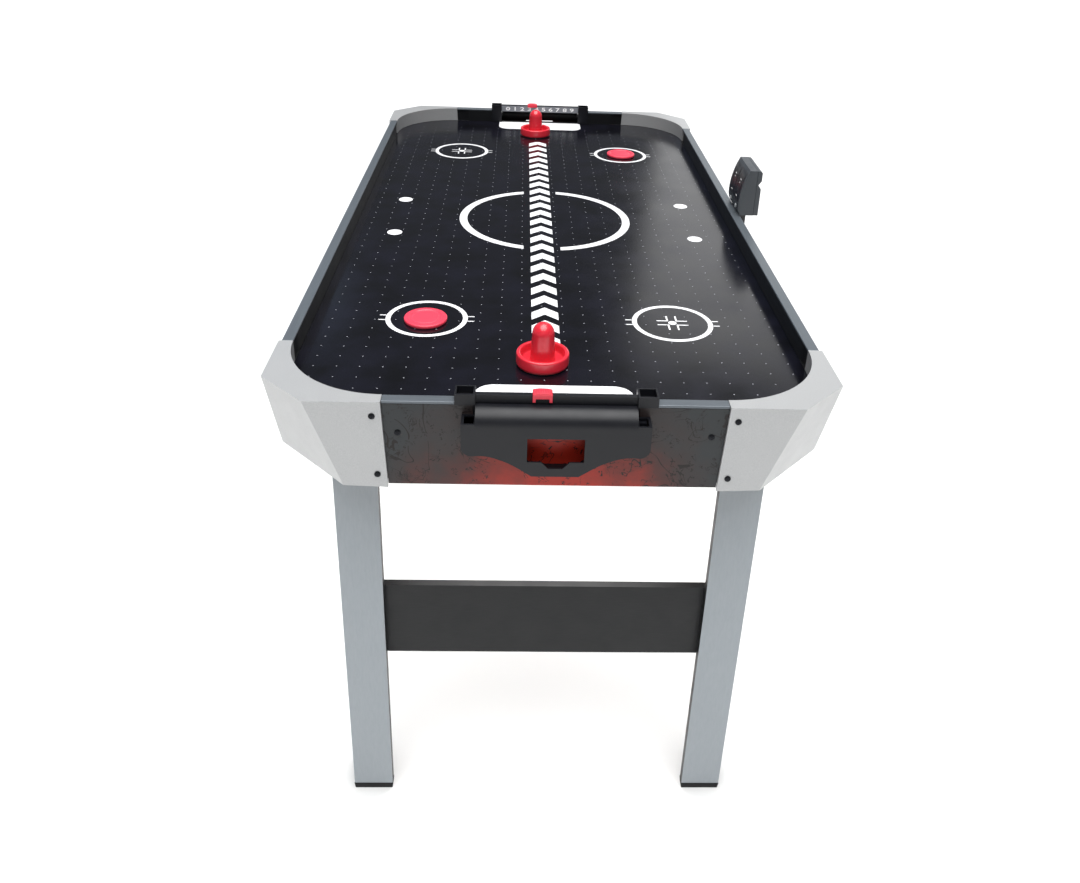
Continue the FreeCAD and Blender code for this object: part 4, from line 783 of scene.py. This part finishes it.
def hole_places():
    """A grid, each place the middle hole plus a whole number of pitches, less what the corners cover.

    A place stays where its distance from the corner's arc centre is below the arc's radius less the gap.
    """
    columns = MIDDLE_HOLE_X + HOLE_COLUMNS * HOLE_PITCH_X
    rows = MIDDLE_HOLE_Y + HOLE_ROWS * HOLE_PITCH_Y
    x, y = (values.ravel() for values in np.meshgrid(columns, rows))
    arc_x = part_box("end_trim_far")[1][0]
    arc_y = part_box("side_trim_right")[1][1]
    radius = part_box("side_apron_right")[0][0] - arc_x - WALL_GAP
    over_x = np.maximum(np.abs(x) - arc_x, 0)
    over_y = np.maximum(np.abs(y) - arc_y, 0)
    return np.stack([x, y, np.full_like(x, PLAY_TOP)], -1)[np.hypot(over_x, over_y) < radius]


def flat_ring(inner, outer, sides=10):
    """An annulus, slightly raised: (r cos a, r sin a, lift)."""
    angle = np.arange(sides) * 2 * np.pi / sides
    circle = np.stack([np.cos(angle), np.sin(angle)], -1)
    heights = np.array([LIFT, LIFT, 0.0])
    radii = np.array([inner, outer * 0.9, outer])
    points = np.concatenate([np.c_[circle * r, np.full(sides, h)] for r, h in zip(radii, heights)])
    return points, quads_of(3, sides, close_columns=True)


holes = hole_places()
rim_points, rim_faces = many(*flat_ring(HOLE_RADIUS, RIM_RADIUS), holes)
attach(build("air_hole_rims", rim_points, rim_faces, HOLE_RIM), "playfield")
# The middles are painted shade: a near-black disc stands for the dark inside of each hole.
core_points, core_faces = many(*flat_ring(0.05 * MM, HOLE_RADIUS), holes)
attach(build("air_hole_bore_shade", core_points, core_faces, HOLE_SHADE), "playfield")
print("air holes", len(holes))

# %% [markdown]
# ## Mallets
# A mallet is one moulding: a dish with an upturned rim and a hollow knob in its middle. It is a body
# of revolution, so its half section is drawn once, its corners are rounded, and a lathe carries it
# round. A profile gives closer control of the rim's roll than a sculpted or subdivided shape.

# %% Mallets
DOME_RADIUS, DOME_FOOT, DOME_RISE = 15.8, 46.5, 17.0    # all in mm, as the section is
DOME_WALL, HOLLOW_SHARE = 2.6, 0.83


def mallet_section():
    """Half section, as (radius, height) above the felt: from the foot over the rim to the dome, and inside.

    The dome is (radius cos a, foot + rise sin a), and the hollow is the same curve, narrower and lower.
    """
    rim = [(14.4, 0), (36.4, 0), (37.8, 3), (37.5, 18.3), (31.4, 18.3), (30.2, 6), (17.6, 5.4)]
    outside = rounded(rim + [(DOME_RADIUS, DOME_FOOT)], [0.9, 1.4, 2.9, 2.7, 3.0, 2.4], steps=7)
    angle = np.linspace(0, np.pi / 2, 14)[1:]
    dome = np.stack([DOME_RADIUS * np.cos(angle), DOME_FOOT + DOME_RISE * np.sin(angle)], -1)
    dome[-1, 0] = 0
    hollow = dome[::-1] * [HOLLOW_SHARE, 1] - [0, DOME_WALL]
    return np.concatenate([outside, dome, hollow, [(13.0, 40), (14.2, 6), (14.4, 0)]]) * MM


for end in ("near", "far"):
    x, y, _ = middle(f"mallet_{end}")
    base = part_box(f"mallet_{end}")[0][2]
    points, faces = turned(mallet_section(), (x, y, base), segments=96)
    adopt(build(f"mallet_{end}_moulding", points, faces, RED_PLASTIC, sharp=50), f"mallet_{end}")
print("mallets turned")

# %% [markdown]
# ## Pucks
# A puck is a flat disc with a raised rolled edge and a shallow step inside it, the same on both faces.
# Again a lathe, with a section that is symmetrical about its half height.

# %% Pucks
DRAWN_RADIUS, DRAWN_THICKNESS = 33, 6   # the section is drawn in mm and then fitted to the node's box


def puck_section(radius, thickness):
    """Half section: out along the top, round the edge, and back along its mirror image, the underside."""
    top = [(0, 5.3), (19.5, 5.3), (21, 4.7), (24.5, 4.7), (26, 6.0), (32, 6.0), (33, 4.8)]
    upper = rounded(top, [0.5, 0.5, 0.6, 0.6, 0.9], steps=5)
    upper = upper * [radius / DRAWN_RADIUS, thickness / DRAWN_THICKNESS]
    lower = upper[::-1] * [1, -1] + [0, thickness]
    return np.concatenate([upper, lower])


for side in ("left", "right"):
    low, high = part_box(f"puck_{side}")
    x, y, _ = middle(f"puck_{side}")
    section = puck_section((high[0] - low[0]) / 2, high[2] - low[2])
    points, faces = turned(section, (x, y, low[2]), segments=96)
    adopt(build(f"puck_{side}_disc", points, faces, PUCK_RED, sharp=50), f"puck_{side}")
print("pucks turned")

# %% [markdown]
# ## Score sliders
# A red saddle rides on each bar. Its top is fluted for the thumb. The saddle itself is the frame's
# shape with softer edges, and the flutes are a wave carried across it: height = depth times the
# absolute sine of the place along the bar, faded out towards the front and back edges.

# %% Score sliders
THUMB_RISE = 2.4 * MM           # the saddle's top is lowered by this, and the flutes fill the room
THUMB_INSET = 0.5 * MM
PLATE_DEPTH = 0.6 * MM


def flutes(low, high, count=8, depth=0.7 * MM, arch=1.6 * MM):
    """A closed plate whose top is arched and fluted: u runs along the bar, v across it.

    Its height is arch (1 - |2u - 1|^3) + depth |sin(pi count u)|, the second faded out towards the edges.
    """
    u = np.linspace(0, 1, count * 8 + 1)[:, None]
    v = np.linspace(0, 1, 9)[None, :]
    fade = 1 - (2 * v - 1) ** 6
    x = low[0] + (high[0] - low[0]) * u + 0 * v
    y = low[1] + (high[1] - low[1]) * v + 0 * u
    top = high[2] - THUMB_RISE + arch * (1 - np.abs(2 * u - 1) ** 3)
    top = top + depth * np.abs(np.sin(np.pi * count * u)) * fade
    sheet = np.stack([x, y, top], -1)
    under = np.stack([x, y, np.full_like(x, high[2] - THUMB_RISE - PLATE_DEPTH)], -1)
    return closed_plate(sheet, under)


def closed_plate(top, bottom):
    """Joins two grids of the same size into a closed plate, by one skirt round their edges."""
    rows, columns = top.shape[:2]
    points = np.concatenate([top.reshape(-1, 3), bottom.reshape(-1, 3)])
    upper = quads_of(rows, columns)
    lower = upper[:, ::-1] + rows * columns
    index = np.arange(rows * columns).reshape(rows, columns)
    border = np.concatenate([index[0], index[1:, -1], index[-1, -2::-1], index[-2:0:-1, 0]])
    after = np.roll(border, -1)
    skirt = np.stack([border, border + rows * columns, after + rows * columns, after], -1)
    return points, np.concatenate([upper, lower, skirt])


for end in ("near", "far"):
    name = f"score_slider_{end}"
    low, high = (np.array(corner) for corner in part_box(name))
    saddle = softened(name, 0.6 * MM, SLIDER_RED)
    points = points_of(saddle.data)
    points[:, 2] -= THUMB_RISE * (points[:, 2] > high[2] - 0.1 * MM)
    saddle.data.vertices.foreach_set("co", points.ravel())
    saddle.data.update()
    inset = np.array([THUMB_INSET, THUMB_INSET, 0])
    points, faces = flutes(low + inset, high - inset)
    attach(build(f"{name}_flutes", points, faces, SLIDER_RED, sharp=60), name)
print("sliders fluted")

# %% [markdown]
# ## Numerals on the score bars
# Each bar has the numerals 0 to 9 for its slider to point at. They are drawn with Blender's own font, as
# one flat text per numeral so that their spacing is exact, and made a mesh before they are placed.
# They are wide and bold, as scoreboard numerals are.

# %% Numerals
NUMERAL_PITCH = 18.9 * MM
NUMERAL_HEIGHT = 9.5 * MM
NUMERAL_STRETCH = 1.8
INK_LIFT = 0.08 * MM


def numeral_mesh(numeral):
    """One numeral as points and faces, 1 unit high, in the XY plane: less its middle, over its height."""
    curve = bpy.data.curves.new("numeral", "FONT")
    curve.body = str(numeral)
    curve.align_x = "CENTER"
    curve.extrude = 0.01
    curve.offset = 0.02
    curve.resolution_u = 4
    holder = bpy.data.objects.new("numeral", curve)
    bpy.context.scene.collection.objects.link(holder)
    mesh = bpy.data.meshes.new_from_object(holder.evaluated_get(bpy.context.evaluated_depsgraph_get()))
    points = points_of(mesh)
    low, high = points.min(0), points.max(0)
    points[:, :2] -= (low + high)[:2] / 2
    points /= high[1] - low[1]
    faces = [list(face.vertices) for face in mesh.polygons]
    bpy.data.objects.remove(holder)
    return points, faces


def numerals_on(node, way):
    """The ten numerals on the strip's face that looks along way, reading left to right."""
    low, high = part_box(node)
    face_y = low[1] if way < 0 else high[1]
    x, _, z = middle(node)
    all_points, all_faces, total = [], [], 0
    for numeral in range(10):
        points, faces = numeral_mesh(numeral)
        across = points[:, 0] * NUMERAL_HEIGHT * NUMERAL_STRETCH + (numeral - 4.5) * NUMERAL_PITCH
        placed = np.stack([x - way * across, face_y + way * (INK_LIFT + points[:, 2] * MM),
                           z + points[:, 1] * NUMERAL_HEIGHT], -1)
        all_points.append(placed)
        all_faces += [[index + total for index in face] for face in faces]
        total += len(points)
    return build(f"{node}_numerals", np.concatenate(all_points), all_faces, WHITE_INK)


attach(numerals_on("score_strip_far", -1), "score_strip_far")
attach(numerals_on("score_strip_near", 1), "score_strip_near")
print("numerals placed")

# %% [markdown]
# ## Ribs on the score bars
# The outer face of each bar has slim upright ribs, 32 mm apart, low enough for the slider to pass over. They
# are a row of narrow bell curves on a thin plate, because a curve needs no more than a few extra columns.

# %% Ribs of the bars
BAR_SETBACK = 0.5 * MM          # the bar's outer face stands this far inside the board's
RIB_PITCH, RIB_HALF, RIB_RISE = 32 * MM, 0.9 * MM, 0.2 * MM
RIB_LIFT, RIB_ROOT = 0.02 * MM, 0.4 * MM


def ribbed_plate(end, way):
    """The plate over the bar's outer face: rise times exp of minus (way to nearest rib / half) squared."""
    strip_low, strip_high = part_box(f"score_strip_{end}")
    face = way * (END_FACE - BAR_SETBACK)
    u = np.linspace(strip_low[0], strip_high[0], 409)[:, None]
    v = np.linspace(strip_low[2] + 1 * MM, strip_high[2] - 3 * MM, 5)[None, :]
    nearest = u - np.round(u / RIB_PITCH) * RIB_PITCH
    rise = RIB_RISE * np.exp(-(nearest / RIB_HALF) ** 2)
    outer = np.stack(np.broadcast_arrays(u, face + way * (RIB_LIFT + rise), v), -1)
    inner = np.stack(np.broadcast_arrays(u, face - way * RIB_ROOT, v), -1)
    return closed_plate(outer, inner)


for end, way in (("near", -1), ("far", 1)):
    points, faces = ribbed_plate(end, way)
    attach(build(f"score_bar_ribs_{end}", points, faces, BLACK_ABS), f"goal_frame_{end}")
print("bars ribbed")

# %% [markdown]
# ## Screws
# The cabinet screws have low domed heads with a cross recess, blackened on the table's outside. Where each
# one sits is read from the frame: every separate solid of the screw node has a box, its long side is the
# screw's axis, and its head is at the outer end. A screw is a lathe with its recess pressed in by a formula.

# %% Screws
RIM_SHARE = 0.45                # how much of the head's height is its straight rim
ARM_HALF, ARM_REACH, CROSS_DEPTH = 0.55 * MM, 2.6 * MM, 1.0 * MM
TIP_LENGTH = 3 * MM


def separate_boxes(node):
    """Lowest and highest corner of each separate solid in a node, its loose triangles merged first.

    Every point starts with its own number, and both ends of each edge take the lower one until all agree.
    """
    edit = bmesh.new()
    edit.from_mesh(frame["nodes"][node].data)
    bmesh.ops.remove_doubles(edit, verts=edit.verts, dist=1e-6)
    merged = bpy.data.meshes.new("merged")
    edit.to_mesh(merged)
    edit.free()
    points = points_of(merged)
    ends = np.zeros(len(merged.edges) * 2, np.int32)
    merged.edges.foreach_get("vertices", ends)
    ends = ends.reshape(-1, 2)
    bpy.data.meshes.remove(merged)
    number, before = np.arange(len(points)), None
    while before is None or (number != before).any():
        before = number.copy()
        np.minimum.at(number, ends, number[ends].min(1, keepdims=True))
    return [(points[number == solid].min(0), points[number == solid].max(0)) for solid in np.unique(number)]


def screw_shape(length, head_radius=4.2 * MM, head_height=2.2 * MM, shank=1.95 * MM, sides=32):
    """A screw along +Z with its head's top at z = 0: a lathe with a cross pressed into the dome.

    The press is depth times the sum of two bell curves, at most 1, one across each arm, faded outwards.
    """
    edge = head_height * RIM_SHARE
    arc = np.linspace(0, 1, 9)[:, None]
    dome = np.concatenate([head_radius * arc, -(head_height - edge) * arc ** 2], 1)
    rest = [(head_radius, -head_height), (shank, -head_height), (shank, TIP_LENGTH - length), (0, -length)]
    profile = np.concatenate([dome, rest])
    points, faces = turned(profile, (0, 0, 0), segments=sides)
    points = points.reshape(-1, 3)
    x, y = points[:, 0], points[:, 1]
    arm = np.exp(-(x / ARM_HALF) ** 4) + np.exp(-(y / ARM_HALF) ** 4)
    reach = np.exp(-(np.hypot(x, y) / ARM_REACH) ** 6)
    on_dome = points[:, 2] > -head_height + edge * 0.9
    points[:, 2] -= np.where(on_dome, CROSS_DEPTH * np.minimum(arm, 1) * reach, 0)
    return points, faces


def screws_for(node, name, material):
    """One mesh of a node's screws: a point is centre + x side + y third + z out, with out along the axis."""
    all_points, all_faces, total = [], [], 0
    for low, high in separate_boxes(node):
        axis = int(np.argmax(high - low))
        way = 1.0 if (low[axis] + high[axis]) > 0 else -1.0
        centre = (low + high) / 2
        centre[axis] = high[axis] if way > 0 else low[axis]
        points, faces = screw_shape(high[axis] - low[axis])
        out = np.zeros(3)
        out[axis] = way
        side = np.roll(out, 1)
        third = np.cross(out, side)
        all_points.append(centre + points[:, :1] * side + points[:, 1:2] * third + points[:, 2:] * out)
        all_faces.append(faces + total)
        total += len(points)
    return build(name, np.concatenate(all_points), np.concatenate(all_faces), material, sharp=40)


adopt(screws_for("cabinet_screws", "cabinet_screws_domed", BLACK_SCREW), "cabinet_screws")
print("screws", len(separate_boxes("cabinet_screws")))

# %% [markdown]
# ## Score unit details
# The unit's curved face has two upright panels, one for each player, with small marks at their top and
# foot. The face is an arc of 150 mm radius, so a panel is a grid on that arc, lifted a little and
# faded at its border: the lift is a rounded-box function of the place on the panel.

# %% Score unit panels
CASE_X, _, CASE_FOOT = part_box("scorer_case")[0]
FACE_RADIUS = 150 * MM
ARC_X = CASE_X + FACE_RADIUS - 0.04 * MM
ARC_Z = CASE_FOOT + 21.5 * MM
PANEL_ROOT = 0.5 * MM           # how far a pad reaches behind the face


def face_x(z):
    """X of the curved face at a height: the arc's centre less the root of R squared minus rise squared."""
    return ARC_X - np.sqrt(FACE_RADIUS ** 2 - (z - ARC_Z) ** 2)


def face_patch(name, y_range, z_range, lift, material, columns=24, rows=40, power=8):
    """A raised pad on the curved face: lift (1 - |u|^power) (1 - |v|^power) high, u and v from -1 to 1."""
    u = np.linspace(-1, 1, rows)[:, None]
    v = np.linspace(-1, 1, columns)[None, :]
    z = (z_range[0] + z_range[1]) / 2 + (z_range[1] - z_range[0]) / 2 * u + 0 * v
    y = (y_range[0] + y_range[1]) / 2 + (y_range[1] - y_range[0]) / 2 * v + 0 * u
    height = lift * (1 - np.abs(u) ** power) * (1 - np.abs(v) ** power)
    top = np.stack([face_x(z) - height, y, z], -1)
    bottom = np.stack([face_x(z) + PANEL_ROOT, y, z], -1)
    points, faces = closed_plate(top, bottom)
    return attach(build(name, points, faces, material), "scorer_window")


WINDOW_LOW, WINDOW_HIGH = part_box("scorer_window")
MARK_LIFT, PANEL_LIFT = 1.0 * MM, 0.7 * MM
WIDE_MARK, NARROW_MARK = 10 * MM, 6 * MM


def mark(name, centre_y, width, z_range):
    """A small white bar on a panel, width wide round centre_y."""
    y_range = (centre_y - width / 2, centre_y + width / 2)
    face_patch(name, y_range, z_range, MARK_LIFT, WHITE_INK, columns=8, rows=6)


for end, way in (("near", -1), ("far", 1)):
    edges = sorted((way * 3 * MM, way * (WINDOW_HIGH[1] - 1.5 * MM)))
    panel_z = (WINDOW_LOW[2] + 2 * MM, WINDOW_HIGH[2] - 2 * MM)
    face_patch(f"scorer_panel_{end}", edges, panel_z, PANEL_LIFT, SMOKED)
    centre_y = sum(edges) / 2
    for index, (width, drop) in enumerate([(WIDE_MARK, 18 * MM), (NARROW_MARK, 24 * MM)]):
        z = WINDOW_HIGH[2] - drop
        mark(f"scorer_mark_{end}_{index}", centre_y, width, (z - 1.2 * MM, z + 1.2 * MM))
    foot_z = (WINDOW_LOW[2] + 7 * MM, WINDOW_LOW[2] + 9 * MM)
    mark(f"scorer_mark_{end}_low", centre_y, 2 * NARROW_MARK, foot_z)
print("score unit panels made")

# %% [markdown]
# ## Floor
# The table stands on a plain pale floor. It is not a part of the table, so it follows no body. One big square
# is enough for a flat floor. Its edges are 30 m away, so they show only from a low eye, as a line where the
# dim sky starts.

# %% Floor


def pale_floor():
    """Matt white paint: nearly no gloss, and a tone that drifts by a hair over half a metre."""
    made, tree, shader = finish("matt_white_floor", "#F4F4F3", Roughness=0.9)
    tone = grain(tree, places(tree)[0], 0.5, detail=2.0)
    fill(tree, shader, {"Base Color": add_node(tree, "Mix", tone, data_type="RGBA", inputs={
        MIX_A: linear("#F2F2F1"), MIX_B: linear("#F6F6F5")})})
    return made


FLOOR_REACH = 30.0
floor_points = np.array([(-1, -1, 0), (1, -1, 0), (1, 1, 0), (-1, 1, 0)]) * FLOOR_REACH
build("floor", floor_points, [(0, 1, 2, 3)], pale_floor())
print("floor laid")

# %% [markdown]
# ## Light
# A wide soft sun, nearly overhead, whitens the floor and the tops of the caps; the upright faces get about
# half as much, most of it from the floor. A dim sky keeps the gloss of the playfield dark, as a black mirror
# is when it faces a dim part of a room, and two cards behind the far end are what it mirrors: a grey sheen on
# the right and a blue one on the left. A fill below lightens the shadow.

# %% Light
SKY_STRENGTH = 0.16


def soft_sun(name, towards, strength, angle):
    """A sun that shines towards a direction. A wide angle, in degrees, gives shadows without an edge."""
    data = bpy.data.lights.new(name, "SUN")
    data.energy = strength
    data.angle = math.radians(angle)
    lamp = bpy.data.objects.new(name, data)
    lamp.rotation_euler = Vector(towards).to_track_quat("-Z", "Y").to_euler()
    bpy.context.scene.collection.objects.link(lamp)


def soft_card(name, place, aim, size, power, colour="#FFFFFF"):
    """A glowing rectangle at a place, turned to face aim, with its power in watts."""
    data = bpy.data.lights.new(name, "AREA")
    data.color = linear(colour)[:3]
    data.shape = "RECTANGLE"
    data.size, data.size_y = size
    data.energy = power
    lamp = bpy.data.objects.new(name, data)
    lamp.location = place
    lamp.rotation_euler = (Vector(aim) - Vector(place)).to_track_quat("-Z", "Y").to_euler()
    bpy.context.scene.collection.objects.link(lamp)


soft_sun("key_sun", towards=(0.0, 0.2, -0.98), strength=3.7, angle=65)
soft_card("right_back_card", place=(2.1, 5.5, 2.7), aim=(0.3, 0, 0.8), size=(2.2, 2.6), power=20)
soft_card("left_back_card", place=(-2.6, 5.2, 2.5), aim=(-0.3, 0, 0.8), size=(2.2, 2.2), power=9,
          colour="#AFC4E8")
soft_card("top_card", place=(0, -0.3, 3.2), aim=(0, -0.3, 0.8), size=(2.0, 3.0), power=42)
soft_card("front_card", place=(-0.6, -4.5, 2.4), aim=(0, -0.7, 0.6), size=(3.0, 1.6), power=5)
soft_card("under_fill", place=(0, 0, 0.66), aim=(0, 0, 0), size=(0.45, 1.1), power=7)
sky = bpy.data.worlds.new("dim_sky")
sky.use_nodes = True
fill(sky.node_tree, sky.node_tree.nodes["Background"], {"Color": linear("#D4DAE2"), "Strength": SKY_STRENGTH})
bpy.context.scene.world = sky
bpy.context.scene.view_settings.view_transform = "Standard"
print("lights set")

# %% [markdown]
# ## Camera
# The eye is 1.4 m up, in front of the near end, and looks down along the table. Its axes were worked out
# from the table's own right angles, so they are written out as vectors and not as turns. The lens is shifted
# a little, which moves the table within the frame without turning the eye.

# %% Camera
EYE = Vector((-0.05437, -1.79429, 1.42748))
LOOK = Vector((0.04065, 0.90533, -0.42277))
RIGHT = Vector((0.99895, -0.02796, 0.03618))
FOCAL_WIDTHS = 0.8908           # focal length over the picture's width
SHIFT_X, SHIFT_Y = -0.0136, -0.1298     # both in picture widths
SENSOR_WIDTH = 36.0             # mm
FAR_CLIP = 200


def look_from(eye, look, right):
    """Camera axes: right, up = right x look, and back = minus look."""
    up = right.cross(look).normalized()
    turn = Matrix((right, up, -look)).transposed()
    return Matrix.Translation(eye) @ turn.to_4x4()


lens = bpy.data.cameras.new("camera")
lens.sensor_width = SENSOR_WIDTH
lens.lens = FOCAL_WIDTHS * SENSOR_WIDTH
lens.shift_x, lens.shift_y = SHIFT_X, SHIFT_Y
lens.clip_end = FAR_CLIP
camera = bpy.data.objects.new("camera", lens)
camera.matrix_world = look_from(EYE, LOOK, RIGHT)
bpy.context.scene.collection.objects.link(camera)
bpy.context.scene.camera = camera
print("camera at", tuple(round(v, 3) for v in EYE))
